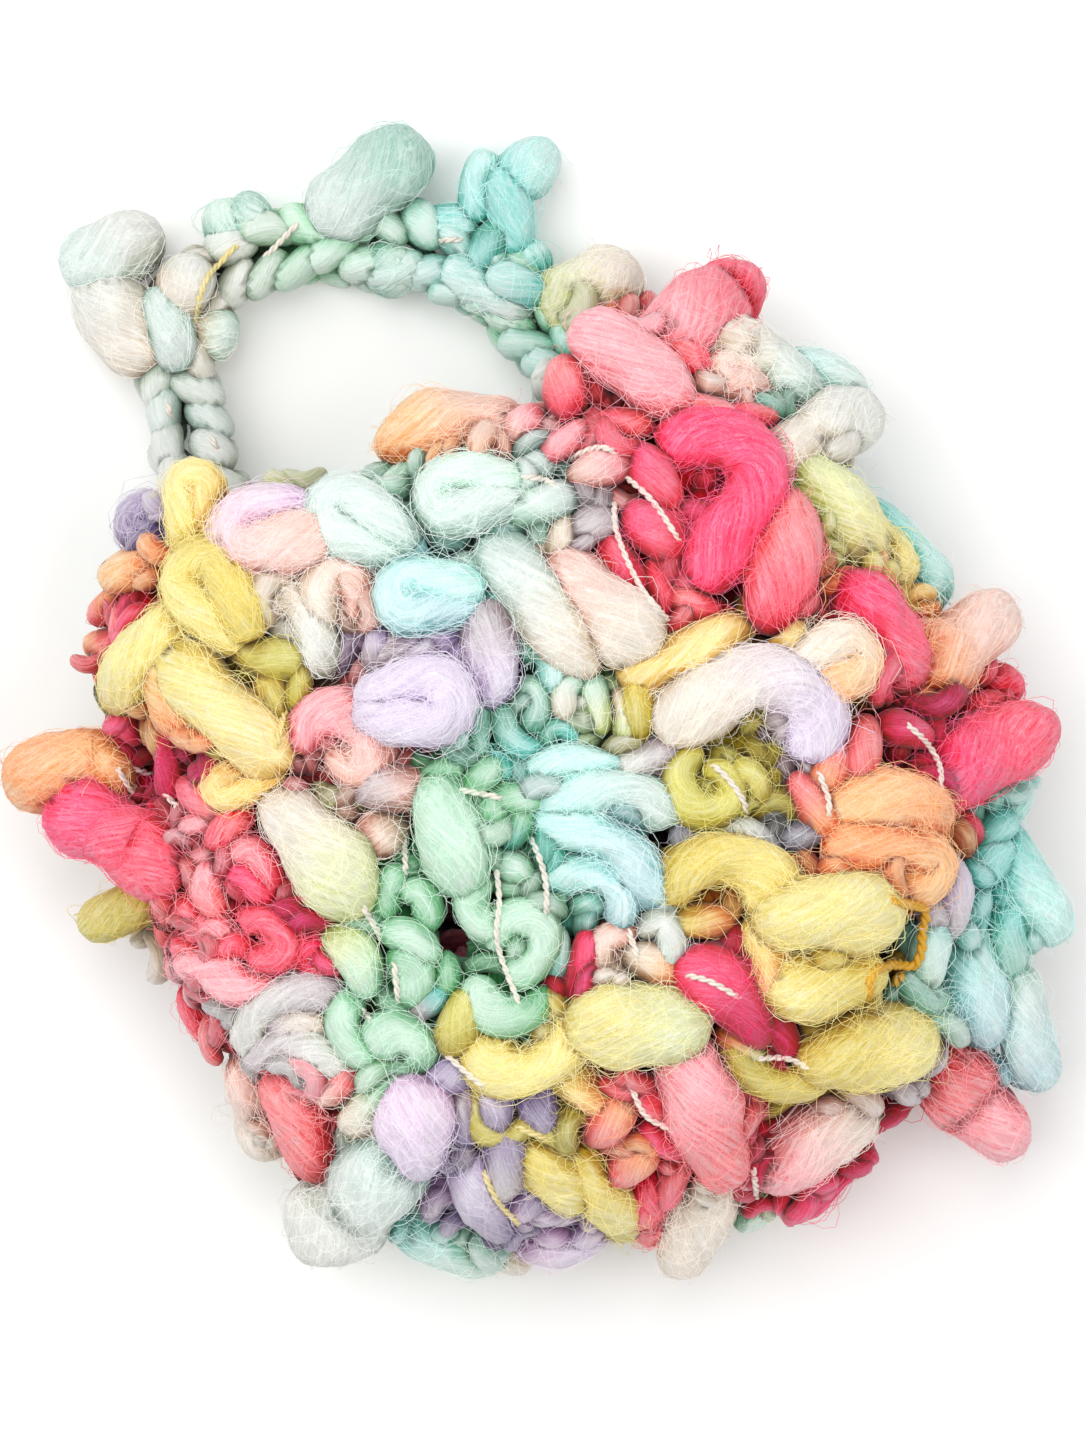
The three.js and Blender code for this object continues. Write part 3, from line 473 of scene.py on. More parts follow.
def unit(vectors: Array) -> Array:
    """The vectors, each brought to a length of one."""
    return vectors / np.maximum(np.linalg.norm(vectors, axis=-1, keepdims=True), NEXT_TO_NOTHING)


def run_along(line: Array) -> Array:
    """How far along a line each of its points lies."""
    return np.concatenate([[0], np.cumsum(np.linalg.norm(np.diff(line, axis=0), axis=1))])


def even_curve(knots: Array, count: int = KNOTS, fineness: int = 24) -> Array:
    """Run a smooth curve through points.

    Args:
        knots: points to pass, of two or three coordinates.
        count: how many evenly spaced points to take.
        fineness: steps between two knots from which they are taken.

    Returns:
        Points along the curve.
    """
    padded = np.concatenate([[2 * knots[0] - knots[1]], knots, [2 * knots[-1] - knots[-2]]])
    t = np.linspace(0, 1, fineness, endpoint=False)[:, None]
    pieces = []
    for a, b, c, d in zip(padded, padded[1:], padded[2:], padded[3:]):
        curve = 2 * b + (c - a) * t + (2 * a - 5 * b + 4 * c - d) * t**2 + (3 * b - a - 3 * c + d) * t**3
        pieces.append(curve / 2)
    dense = np.concatenate(pieces + [knots[-1:]])
    run = run_along(dense)
    even = np.linspace(0, run[-1], count)
    return np.stack([np.interp(even, run, column) for column in dense.T], axis=-1)


def bent(start: Array, middle: Array, end: Array) -> Array:
    """Bend spines from their starts towards their middles and on to their ends.

    Args:
        start: first points.
        middle: points that pull the spines aside.
        end: last points.

    Returns:
        Spines of evenly stepped points.
    """
    s = np.linspace(0, 1, KNOTS)[:, None]
    a, m, b = (points[:, None, :] for points in (start, middle, end))
    return (1 - s) ** 2 * a + 2 * s * (1 - s) * m + s**2 * b


def ring_steps(rings: int, sides: int) -> tuple[Array, Array]:
    """Number the points of rings that lie one after the other.

    Args:
        rings: how many rings there are.
        sides: points in a ring.

    Returns:
        The number of each point, and of its neighbour round the ring.
    """
    ring = np.arange(sides)
    start = np.arange(rings)[:, None] * sides
    return start + ring, start + (ring + 1) % sides


def build_mesh(
    name: str, points: Array, quads: Array, triangles: Array, layers: dict[str, Array]
) -> bpy.types.Object:
    """Make one object from arrays, smooth shaded, with its attributes.

    Args:
        name: the piece's name.
        points: vertices, in metres.
        quads: four-sided faces.
        triangles: three-sided faces.
        layers: attributes of the points, colours with four columns and vectors with three.

    Returns:
        The new object, linked to the scene.
    """
    mesh = bpy.data.meshes.new(name)
    mesh.from_pydata(points.tolist(), [], quads.tolist() + triangles.tolist())
    mesh.shade_smooth()
    for label, values in layers.items():
        kind, key = ("FLOAT_COLOR", "color") if values.shape[1] == 4 else ("FLOAT_VECTOR", "vector")
        attribute = mesh.attributes.new(label, kind, "POINT")
        attribute.data.foreach_set(key, np.ascontiguousarray(values, np.float32).ravel())
    mesh.validate()
    piece = bpy.data.objects.new(name, mesh)
    bpy.context.scene.collection.objects.link(piece)
    return piece


def add_node(
    tree: bpy.types.NodeTree,
    kind: str,
    settings: dict[str | int, Any],
    links: dict[str | int, bpy.types.NodeSocket],
    output: str | int = 0,
) -> bpy.types.NodeSocket:
    """Add a node with its settings and its links.

    Args:
        tree: the material's node tree.
        kind: Blender's name of the node, after the word ShaderNode.
        settings: properties, or values of sockets by their name or number.
        links: output sockets to join to input sockets by their name or number.
        output: the output that is wanted.

    Returns:
        That output.
    """
    node = tree.nodes.new("ShaderNode" + kind)
    for key, value in settings.items():
        if isinstance(key, str) and hasattr(node, key):
            setattr(node, key, value)
        else:
            node.inputs[key].default_value = value
    for key, source in links.items():
        tree.links.new(source, node.inputs[key])
    return node.outputs[output]


@dataclass(frozen=True)
class YarnFinish:
    """A finish of dyed yarn: streaks of dye along its strands, and fine paler hairs over them."""

    name: str
    roughness: float
    specular: float
    sheen: float
    strand_width: float
    strand_length: float
    mottle: float
    relief: float
    hair_spacing: float = 0.0
    hair_width: float = 0.0
    hair_strength: float = 0.0
    own_light: float = 0.0
    sheen_roughness: float = 0.5
    bump: float = 0.7
    deepening: float = 3.0
    paling: float = 0.8
    hair_gamma: float = 0.55
    hair_stretches: tuple[float, ...] = (0.45, 0.7)
    hair_spacings: tuple[float, ...] = (0.8, 0.5)
    layer_shift: tuple[float, float] = (31 * MM, 17 * MM)

    def material(self) -> bpy.types.Material:
        """The finish as a material, made once."""
        return bpy.data.materials.get(self.name) or self._make()

    def _make(self) -> bpy.types.Material:
        """Build the nodes: dye streaked along the strands, paler hairs across them, and their relief.

        Returns:
            The new material.
        """
        material = bpy.data.materials.new(self.name)
        material.use_nodes = True
        material.cycles.emission_sampling = "NONE"
        tree = material.node_tree
        # The dye attribute holds the yarn's dye with painted shade and painted highlight baked in
        dye = add_node(tree, "Attribute", {"attribute_name": "dye"}, {}, "Color")
        lie = add_node(tree, "Attribute", {"attribute_name": "fibre"}, {}, "Vector")
        stretch = (self.strand_width / self.strand_length, 1.0, 1.0)
        combed = add_node(tree, "Mapping", {"Scale": stretch}, {"Vector": lie})
        noise = {"Scale": 1 / self.strand_width, "Detail": 3.0, "Roughness": 0.62, "Distortion": 0.9}
        strands = add_node(tree, "TexNoise", noise, {"Vector": combed}, "Fac")
        streaks = add_node(tree, "MapRange", {"From Min": 0.3, "From Max": 0.7}, {"Value": strands})
        deep = add_node(tree, "Gamma", {"Gamma": 1 + self.deepening * self.mottle}, {"Color": dye})
        pale = add_node(tree, "Gamma", {"Gamma": 1 - self.paling * self.mottle}, {"Color": dye})
        colour = add_node(tree, "MixRGB", {}, {"Fac": streaks, "Color1": deep, "Color2": pale})
        if self.hair_strength:
            hairs = self._hairs(tree, lie)
            bright = add_node(tree, "Gamma", {"Gamma": self.hair_gamma}, {"Color": dye})
            amount = add_node(tree, "Math", {"operation": "MULTIPLY", 1: self.hair_strength}, {0: hairs})
            colour = add_node(tree, "MixRGB", {}, {"Fac": amount, "Color1": colour, "Color2": bright})
        bump = add_node(tree, "Bump", {"Strength": self.bump, "Distance": self.relief}, {"Height": strands})
        shader = tree.nodes["Principled BSDF"]
        tree.links.new(colour, shader.inputs["Base Color"])
        # A painted glow in the yarn's own colour; its strength is zero save for the loose fibres
        tree.links.new(colour, shader.inputs["Emission Color"])
        tree.links.new(bump, shader.inputs["Normal"])
        shader.inputs["Emission Strength"].default_value = self.own_light
        shader.inputs["Roughness"].default_value = self.roughness
        shader.inputs["Specular IOR Level"].default_value = self.specular
        shader.inputs["Sheen Weight"].default_value = self.sheen
        shader.inputs["Sheen Roughness"].default_value = self.sheen_roughness
        return material

    def _hairs(self, tree: bpy.types.NodeTree, lie: bpy.types.NodeSocket) -> bpy.types.NodeSocket:
        """Draw fine curly hairs as the level lines of noises.

        Args:
            tree: the material's node tree.
            lie: the coordinates along and across the strands.

        Returns:
            1 on a hair and 0 off it.
        """
        total = None
        for number, (stretch, share) in enumerate(zip(self.hair_stretches, self.hair_spacings)):
            spacing = self.hair_spacing * share
            shift = (self.layer_shift[0] * number, self.layer_shift[1] * number, 0.0)
            place = {"Location": shift, "Scale": (stretch, 1.0, 1.0)}
            moved = add_node(tree, "Mapping", place, {"Vector": lie})
            noise = {"Scale": 1 / spacing, "Detail": 0.0, "Distortion": 0.4}
            level = add_node(tree, "TexNoise", noise, {"Vector": moved}, "Fac")
            away = add_node(tree, "Math", {"operation": "SUBTRACT", 1: 0.5}, {0: level})
            near = add_node(tree, "Math", {"operation": "ABSOLUTE"}, {0: away})
            width = 0.4 * self.hair_width / spacing
            edge = {"From Min": 0.15 * width, "From Max": 0.5 * width, "To Min": 1.0, "To Max": 0.0}
            line = add_node(tree, "MapRange", edge, {"Value": near})
            if total is None:
                total = line
            else:
                total = add_node(tree, "Math", {"operation": "MAXIMUM"}, {0: total, 1: line})
        return total


# Carded wool roving: open and matte, its dye in soft streaks under a thin web of paler hairs. A fibre is
# 0.03 mm thick, too fine to show, so the streaks here and in the other finishes are tufts of fibres
ROVING = YarnFinish(
    "wool_roving",
    roughness=0.95,
    specular=0.1,
    sheen=0.2,
    strand_width=0.5 * MM,
    strand_length=8 * MM,
    mottle=0.36,
    relief=0.4 * MM,
    hair_spacing=2.4 * MM,
    hair_width=0.17 * MM,
    hair_strength=0.4,
)
# Tightly spun wool: smoother and deeper in colour, with fine parallel fibres and a soft shine
SPUN = YarnFinish(
    "spun_wool",
    roughness=0.5,
    specular=0.4,
    sheen=0.2,
    strand_width=0.24 * MM,
    strand_length=9 * MM,
    mottle=0.3,
    relief=0.25 * MM,
    hair_spacing=3.4 * MM,
    hair_width=0.1 * MM,
    hair_strength=0.3,
)
# Plied polyester binder: a slick thin thread with a silky shine
BINDER = YarnFinish(
    "polyester_binder",
    roughness=0.4,
    specular=0.5,
    sheen=0.05,
    strand_width=0.15 * MM,
    strand_length=3 * MM,
    mottle=0.08,
    relief=0.05 * MM,
)
# Worsted ground stitches: matte and close, in the shade between the puffs
GROUND = YarnFinish(
    "worsted_ground",
    roughness=0.8,
    specular=0.2,
    sheen=0.1,
    strand_width=0.35 * MM,
    strand_length=6 * MM,
    mottle=0.18,
    relief=0.25 * MM,
)
# Loose wool fibres: fine hairs with a little painted glow, which stands in for light that comes through the
# fluff
FLYAWAY = YarnFinish(
    "loose_wool_fibre",
    roughness=0.8,
    specular=0.15,
    sheen=0.1,
    strand_width=0.3 * MM,
    strand_length=4 * MM,
    mottle=0.04,
    relief=0.02 * MM,
    own_light=0.2,
)


class Home(Enum):
    """What a piece dresses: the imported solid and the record's material slot."""

    BAG = ("pouch_bag", "pouch_yarn")
    STRAP = ("finger_strap", "strap_yarn")


def seat(piece: bpy.types.Object, finish: YarnFinish, home: Home) -> None:
    """Give a piece its finish and its body, and hide the imported solid that it stands for.

    Args:
        piece: the finished object.
        finish: its material.
        home: the solid that it dresses.
    """
    node, slot = home.value
    piece.data.materials.append(finish.material())
    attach(piece, BODY)
    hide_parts(node)
    log.info("%s: %d faces", piece.name, len(piece.data.polygons))


@dataclass(frozen=True)
class BagForm:
    """The crocheted bag without its puffs, a stack of flattened rounds from the base to the mouth."""

    base_y: float = -51 * MM
    widest_y: float = -3 * MM
    rim_y: float = 42 * MM
    half_width: float = 47 * MM
    depth: float = 35 * MM
    stand_off: float = 2.6 * MM
    taper_reach: float = 74 * MM
    close_reach: float = 60 * MM
    bag_power: float = 2.3
    round_power: float = 2.4
    sag: float = 0.3

    @staticmethod
    def taper(share: Array, power: float | Array) -> Array:
        """How much of a full size is left at a share of the way to where it closes."""
        return np.maximum(0.0, 1 - np.abs(share) ** power) ** (1 / power)

    def round_at(self, y: Array, inset: float = 0.0) -> tuple[Array, Array, Array]:
        """Measure the round of stitches at y.

        Args:
            y: places along the bag.
            inset: how deep in the fabric the round lies.

        Returns:
            Half width, depth and height of the middle of each round.
        """
        along = np.asarray(y, float) - self.widest_y
        low = along < 0
        base = self.widest_y - self.base_y
        narrowing = self.taper(along / np.where(low, base, self.taper_reach), self.bag_power)
        closing = self.taper(along / np.where(low, base, self.close_reach), self.bag_power)
        half = (self.half_width - inset) * narrowing
        depth = (self.depth - 2 * inset) * closing
        middle = self.stand_off + self.sag * self.depth * (1 - closing) + self.depth * closing / 2
        return half, depth, middle

    def point(self, y: Array, angle: Array, inset: float = 0.0) -> Array:
        """Find points of the rounds.

        Args:
            y: places along the bag's outside.
            angle: angles round each round from +X.
            inset: how deep in the fabric the points lie.

        Returns:
            Points, one for each pair of place and angle.
        """
        half, depth, middle = self.round_at(y, inset)
        across, up = np.cos(angle), np.sin(angle)
        bulge = 2 / self.round_power
        x = half * np.sign(across) * np.abs(across) ** bulge
        z = middle + depth / 2 * np.sign(up) * np.abs(up) ** bulge
        along = np.asarray(y, float) - self.widest_y
        base = self.widest_y - self.base_y
        place = self.widest_y + along * np.where(along < 0, 1 - inset / base, 1.0)
        return np.stack([x, np.broadcast_to(place, x.shape), z], axis=-1)

    def on_front(self, points: Array, margin: float = 0.0) -> Array:
        """Which points lie on the front half, or below it by no more than a margin."""
        return points[:, 2] > self.round_at(points[:, 1])[2] - margin

    def front_height(self, x: Array, y: Array) -> Array:
        """Find the height of the front fabric over spots; past the edge it is the height of the edge.

        Args:
            x: the spots' places across the bag.
            y: their places along it.

        Returns:
            A height for each spot.
        """
        half, depth, middle = self.round_at(np.clip(y, self.base_y, self.rim_y))
        share = np.minimum(1.0, np.abs(x) / np.maximum(half, NEXT_TO_NOTHING))
        return middle + depth / 2 * self.taper(share, self.round_power)


class Detail(NamedTuple):
    """How finely a batch of strands is meshed, and the seed of its unevenness."""

    sides: int
    rings: int
    seed: int


class Wave(NamedTuple):
    """A wave of a strand's unevenness: its share of the radius, its count all round, its length in mm."""

    share: float
    around: int
    long: float


WAVES = (Wave(0.075, 2, 17), Wave(0.045, 3, -11), Wave(0.06, 0, 12), Wave(0.025, 5, 7))


@dataclass
class Strands:
    """A batch of yarn strands: uneven, round-ended tubes along spines, each with its own dyes."""

    spine: Array
    width: Array
    root: Array
    tip: Array
    detail: Detail
    floor: float = 0.05 * MM
    bluntest: tuple[float, float] = (2.2, 6)
    blunt_by_length: float = 1.55
    widest_lean: float = 0.14
    twist: float = 0.15 / MM
    plain_ends: float = 0.2
    upright: float = 0.95
    ahead: Array = field(init=False)
    length: Array = field(init=False)
    bluntness: Array = field(init=False)
    phases: Array = field(init=False)
    lean: Array = field(init=False)
    offset: Array = field(init=False)

    def __post_init__(self) -> None:
        """Measure the spines and draw each strand's own unevenness."""
        rng = np.random.default_rng(self.detail.seed)
        count = len(self.width)
        self.length = np.linalg.norm(np.diff(self.spine, axis=1), axis=-1).sum(axis=1)
        self.ahead = unit(np.gradient(self.spine, axis=1))
        self.bluntness = np.clip(self.blunt_by_length * self.length / self.width, *self.bluntest)
        self.phases = rng.uniform(0, 2 * math.pi, (count, len(WAVES)))
        self.lean = rng.uniform(-self.widest_lean, self.widest_lean, count)
        self.offset = rng.uniform(-1, 1, (count, 3))

    def _frame(self, which: Array, along: Array) -> tuple[Array, Array, Array]:
        """Find the spine's points and the directions across it.

        Args:
            which: numbers of the strands.
            along: shares of the way along each spine.

        Returns:
            Points of the spine, directions aside and directions up.
        """
        step = along * (KNOTS - 1)
        low = np.minimum(step.astype(int), KNOTS - 2)
        mix = (step - low)[..., None]
        place = self.spine[which, low] * (1 - mix) + self.spine[which, low + 1] * mix
        ahead = unit(self.ahead[which, low] * (1 - mix) + self.ahead[which, low + 1] * mix)
        steep = np.abs(ahead[..., 2:]) > self.upright
        aside = unit(np.cross(np.where(steep, np.array([1.0, 0, 0]), np.array([0, 0, 1.0])), ahead))
        return place, aside, np.cross(ahead, aside)

    def _swell(self, which: Array, along: Array) -> Array:
        """The strands' radius without their unevenness.

        Args:
            which: numbers of the strands.
            along: shares of the way along each strand.

        Returns:
            A radius for each place.
        """
        share = 2 * along - 1
        ends = BagForm.taper(share, self.bluntness[which])
        return self.width[which] / 2 * ends * (1 + self.lean[which] * share)

    def surface(self, which: Array, along: Array, angle: Array, out: float | Array = 0.0) -> Array:
        """Find points on or above the strands.

        Args:
            which: numbers of the strands.
            along: shares of the way along each strand.
            angle: angles round each strand.
            out: heights above the surface.

        Returns:
            Points in the part's frame.
        """
        place, aside, up = self._frame(which, along)
        run = 2 * math.pi * along * self.length[which] / MM
        uneven = np.ones_like(run)
        for wave, phase in zip(WAVES, np.moveaxis(self.phases[which], -1, 0)):
            uneven += wave.share * np.sin(wave.around * angle + run / wave.long + phase)
        radius = self._swell(which, along) * uneven + out
        outwards = np.cos(angle)[..., None] * aside + np.sin(angle)[..., None] * up
        point = place + radius[..., None] * outwards
        point[..., 2] = np.maximum(point[..., 2], self.floor)
        return point

    def dye_at(self, which: Array, along: Array) -> Array:
        """The dye along the strands, from root to tip, plain at both ends and blended between them.

        Args:
            which: numbers of the strands.
            along: shares of the way along each strand.

        Returns:
            A linear colour for each place.
        """
        blend = np.clip((1 + 2 * self.plain_ends) * along - self.plain_ends, 0, 1)[..., None]
        blend = blend * blend * (3 - 2 * blend)
        return self.root[which] * (1 - blend) + self.tip[which] * blend

    def arrays(self) -> MeshArrays:
        """Lay out all the strands as one mesh.

        Returns:
            The mesh's arrays.
        """
        count, rings, sides = len(self.width), self.detail.rings, self.detail.sides
        ring_share = (1 - np.cos(np.pi * np.arange(rings + 1) / rings)) / 2
        along = np.concatenate([[0.0], np.repeat(ring_share[1:-1], sides), [1.0]])
        angle = np.concatenate([[0.0], np.tile(2 * np.pi * np.arange(sides) / sides, rings - 1), [0.0]])
        which = np.repeat(np.arange(count)[:, None], len(along), axis=1)
        along = np.broadcast_to(along, which.shape)
        angle = np.broadcast_to(angle, which.shape)
        points = self.surface(which, along, angle)
        swell = self._swell(which, along)
        run = along * self.length[which]
        turn = angle + self.twist * run
        fibre = np.stack([run, swell * np.cos(turn), swell * np.sin(turn)], axis=-1)
        fibre += self.offset[:, None, :]
        dye = np.concatenate([self.dye_at(which, along), np.ones(which.shape + (1,))], axis=-1)
        first, after = ring_steps(rings - 1, sides)
        faces = [first[:-1], after[:-1], after[1:], first[1:]]
        quads = 1 + np.stack(faces, axis=-1).reshape(-1, 4)
        tips = np.zeros(sides, int), np.full(sides, 1 + (rings - 1) * sides)
        head = np.stack([tips[0], 1 + after[0], 1 + first[0]], axis=-1)
        foot = np.stack([tips[1], 1 + first[-1], 1 + after[-1]], axis=-1)
        shift = (np.arange(count) * points.shape[1])[:, None, None]
        quads = (quads[None] + shift).reshape(-1, 4)
        triangles = (np.concatenate([head, foot])[None] + shift).reshape(-1, 3)
        layers = {"dye": dye.reshape(-1, 4), "fibre": fibre.reshape(-1, 3)}
        return points.reshape(-1, 3), quads, triangles, layers


# A slanted direction that tubes' sides are measured from, and how far apart tubes read the texture
SKEW = np.array([0.31, 0.22, 0.92])
TUBE_SHIFT = 7 * MM


def tube_arrays(paths: Array, radii: Array, sides: int, dyes: Array) -> MeshArrays:
    """Lay out many closed tubes with the same number of points as one mesh.

    Args:
        paths: middle lines, shaped (tubes, points, 3).
        radii: radius at each point, shaped (tubes, points).
        sides: sides of a tube.
        dyes: linear colour of each tube, or of each of its points.

    Returns:
        The mesh's arrays.
    """
    tubes, steps, _ = paths.shape
    ahead = unit(np.gradient(paths, axis=1))
    aside = unit(np.cross(ahead, SKEW))
    up = np.cross(ahead, aside)
    angle = 2 * np.pi * np.arange(sides) / sides
    spread = np.cos(angle)[:, None] * aside[:, :, None, :] + np.sin(angle)[:, None] * up[:, :, None, :]
    points = paths[:, :, None, :] + radii[:, :, None, None] * spread
    first, after = ring_steps(steps, sides)
    quads = np.stack([after[:-1], after[1:], first[1:], first[:-1]], axis=-1).reshape(-1, 4)
    ring = np.arange(sides)
    fan = np.stack([ring[2:], ring[1:-1], np.zeros(sides - 2, int)], axis=-1)
    tail = fan[:, ::-1] + (steps - 1) * sides
    shift = (np.arange(tubes) * steps * sides)[:, None, None]
    quads = (quads[None] + shift).reshape(-1, 4)
    triangles = (np.concatenate([fan, tail])[None] + shift).reshape(-1, 3)
    run = np.cumsum(np.linalg.norm(np.diff(paths, axis=1, prepend=paths[:, :1]), axis=-1), axis=1)
    fibre = np.zeros(points.shape)
    fibre[..., 0] = run[:, :, None]
    fibre[..., 1] = radii[:, :, None] * np.cos(angle)
    fibre[..., 2] = radii[:, :, None] * np.sin(angle)
    fibre += np.arange(tubes)[:, None, None, None] * TUBE_SHIFT
    dye = np.ones(points.shape[:-1] + (4,))
    dye[..., :3] = dyes[:, None, None, :] if dyes.ndim == 2 else dyes[:, :, None, :]
    layers = {"dye": dye.reshape(-1, 4), "fibre": fibre.reshape(-1, 3)}
    return points.reshape(-1, 3), quads, triangles, layers


def slub_columns(slubs: tuple[Slub, ...]) -> tuple[Array, ...]:
    """Split rows of slubs into columns.

    Args:
        slubs: rows of the slubs.

    Returns:
        Middles, half axes, ways aside as far as the bows go, widths and lifts, in metres.
    """
    rows = [(*slub[:6], slub.bow) for slub in slubs]
    x, y, long, wide, turn, lift, bow = np.array(rows, float).T
    turn = np.radians(turn)
    middle = np.stack([x, y], axis=-1) * MM
    ahead = np.stack([np.cos(turn), np.sin(turn)], axis=-1)
    aside = np.stack([-np.sin(turn), np.cos(turn)], axis=-1)
    return middle, ahead * (long / 2 * MM)[:, None], aside * (2 * bow * MM)[:, None], wide * MM, lift * MM


@dataclass
class FrontSlubs:
    """The puffs, loops and strands that stand out of the front and the edges."""

    form: BagForm
    proud: float = 0.3
    loop_proud: float = 1.1
    dip: float = 0.2
    rise: float = 0.12
    fullness: float = 0.96
    leg: float = 0.59
    waist: float = 0.3
    tilt: float = 0.14
    bend_angles: tuple[float, ...] = (-90, -45, 0, 45, 90)

    def _raised(self, spots: Array, wide: Array, lift: Array, proud: float) -> Array:
        """Lay flat spines on the front fabric, their ends dipped into it.

        Args:
            spots: flat spines.
            wide: widths of the strands.
            lift: heights above their usual seat.
            proud: how much of half a width they stand out.

        Returns:
            Spines in space.
        """
        height = self.form.front_height(spots[..., 0], spots[..., 1])
        share = np.abs(np.linspace(-1, 1, KNOTS))
        arch = self.rise - (self.rise + self.dip) * share**3
        height = height + lift[:, None] + wide[:, None] * (proud / 2 + arch)
        height = np.maximum(height, wide[:, None] / 2)
        return np.concatenate([spots, height[..., None]], axis=-1)

    def straight(self, slubs: tuple[Slub, ...], detail: Detail) -> Strands:
        """Lay slubs out straight or a little bowed, drawn taut where they run over the edge.

        Args:
            slubs: rows of the slubs.
            detail: how finely they are meshed.

        Returns:
            The strands on their spines.
        """
        middle, reach, bow, wide, lift = slub_columns(slubs)
        spots = bent(middle - reach, middle + bow, middle + reach)
        spine = self._raised(spots, wide, lift, self.proud)
        share = np.linspace(0, 1, KNOTS)
        taut = spine[:, :1, 2] * (1 - share) + spine[:, -1:, 2] * share
        spine[..., 2] = np.maximum(spine[..., 2], taut)
        return Strands(spine, self.fullness * wide, *dye_ends(slubs), detail)

    def folded(self, slubs: tuple[Slub, ...], detail: Detail) -> Strands:
        """Fold slubs into loops, with their bend at the tip and both legs tucked in at the root.

        Args:
            slubs: rows of the slubs.
            detail: how finely they are meshed.

        Returns:
            The strands on their spines.
        """
        middle, reach, _, wide, lift = slub_columns(slubs)
        half = np.linalg.norm(reach, axis=1)
        ahead = reach / half[:, None]
        aside = np.stack([-ahead[:, 1], ahead[:, 0]], axis=-1)
        leg = self.leg * wide
        spread = (wide - leg) / 2
        turn = np.radians(self.bend_angles)
        spines = []
        for i, (spot, way, side) in enumerate(zip(middle, ahead, aside)):
            bend = half[i] - leg[i] / 2 - spread[i]
            forward = np.concatenate([[-half[i]], bend + spread[i] * np.cos(turn), [-half[i]]])
            across = spread[i] * np.concatenate([[-self.waist], np.sin(turn), [self.waist]])
            spines.append(even_curve(spot + forward[:, None] * way + across[:, None] * side))
        spine = self._raised(np.array(spines), leg, lift, self.loop_proud)
        tilt = np.random.default_rng(detail.seed).uniform(-self.tilt, self.tilt, len(wide)) * wide
        spine[..., 2] += tilt[:, None] * np.linspace(-1, 1, KNOTS)
        return Strands(spine, self.fullness * leg, *dye_ends(slubs), detail)

    def wound(self, strands: tuple[Strand, ...], detail: Detail) -> Strands:
        """Wind strands over the front through their spots.

        Args:
            strands: rows of the strands.
            detail: how finely they are meshed.

        Returns:
            The strands on their spines.
        """
        wide = np.array([strand.wide for strand in strands]) * MM
        lift = np.array([strand.lift for strand in strands]) * MM
        spots = np.array([even_curve(np.array(strand.spots) * MM) for strand in strands])
        spine = self._raised(spots, wide, lift, self.proud)
        return Strands(spine, self.fullness * wide, *dye_ends(strands), detail)


class BackRow(NamedTuple):
    """A row of puffs across the back: its place, how many it has and how far it reaches, in mm."""

    y: float
    count: int
    half: float


BACK_ROWS = (
    BackRow(35, 3, 24),
    BackRow(18, 4, 34),
    BackRow(0, 5, 38),
    BackRow(-18, 4, 34),
    BackRow(-35, 3, 20),
)


@dataclass
class BackSlubs:
    """The puffs of the back, pressed flat by the pouch's weight."""

    long: float = 20 * MM
    wide: float = 13 * MM
    fullness: float = 1.1
    pressed: float = 1 * MM
    turns: tuple[float, ...] = (25, -40, 75, -15)
    dye_step: int = 3
    tip_mix: float = 0.35
    detail: Detail = Detail(sides=28, rings=18, seed=SEED + 2)

    def puffs(self) -> Strands:
        """The puffs in their rows.

        Returns:
            A strand for each puff.
        """
        spots, turns = [], []
        for row, (y, count, half) in enumerate(BACK_ROWS):
            for i in range(count):
                spots.append((half * (2 * i / (count - 1) - 1), y))
                turns.append(math.radians(self.turns[(row + i) % len(self.turns)]))
        middle = np.array(spots) * MM
        reach = np.stack([np.cos(turns), np.sin(turns)], axis=-1) * self.long / 2
        height = np.full((len(middle), 1), self.wide / 2 - self.pressed)
        dyes = np.array([DYE_RUN[(self.dye_step * i) % len(DYE_RUN)].light for i in range(len(middle))])
        tips = np.roll(dyes, 1, axis=0) * self.tip_mix + dyes * (1 - self.tip_mix)
        knots = [np.concatenate([middle + way * reach, height], axis=1) for way in (-1, 0, 1)]
        width = np.full(len(middle), self.fullness * self.wide)
        return Strands(bent(*knots), width, dyes, tips, self.detail)


class Gap(NamedTuple):
    """An open gap between stitches of the front, in mm and degrees."""

    x: float
    y: float
    long: float
    wide: float
    turn: float


GAPS = (
    Gap(-16, -10, 10, 5.2, 80),
    Gap(12.2, -8.2, 8, 4.4, 100),
    Gap(-43, 19.5, 10, 4.6, 85),
    Gap(31.5, -32, 6, 5.2, 30),
    Gap(-36.3, -26.5, 6.5, 4.6, 60),
    Gap(40, -9.8, 5.4, 4.4, 50),
)


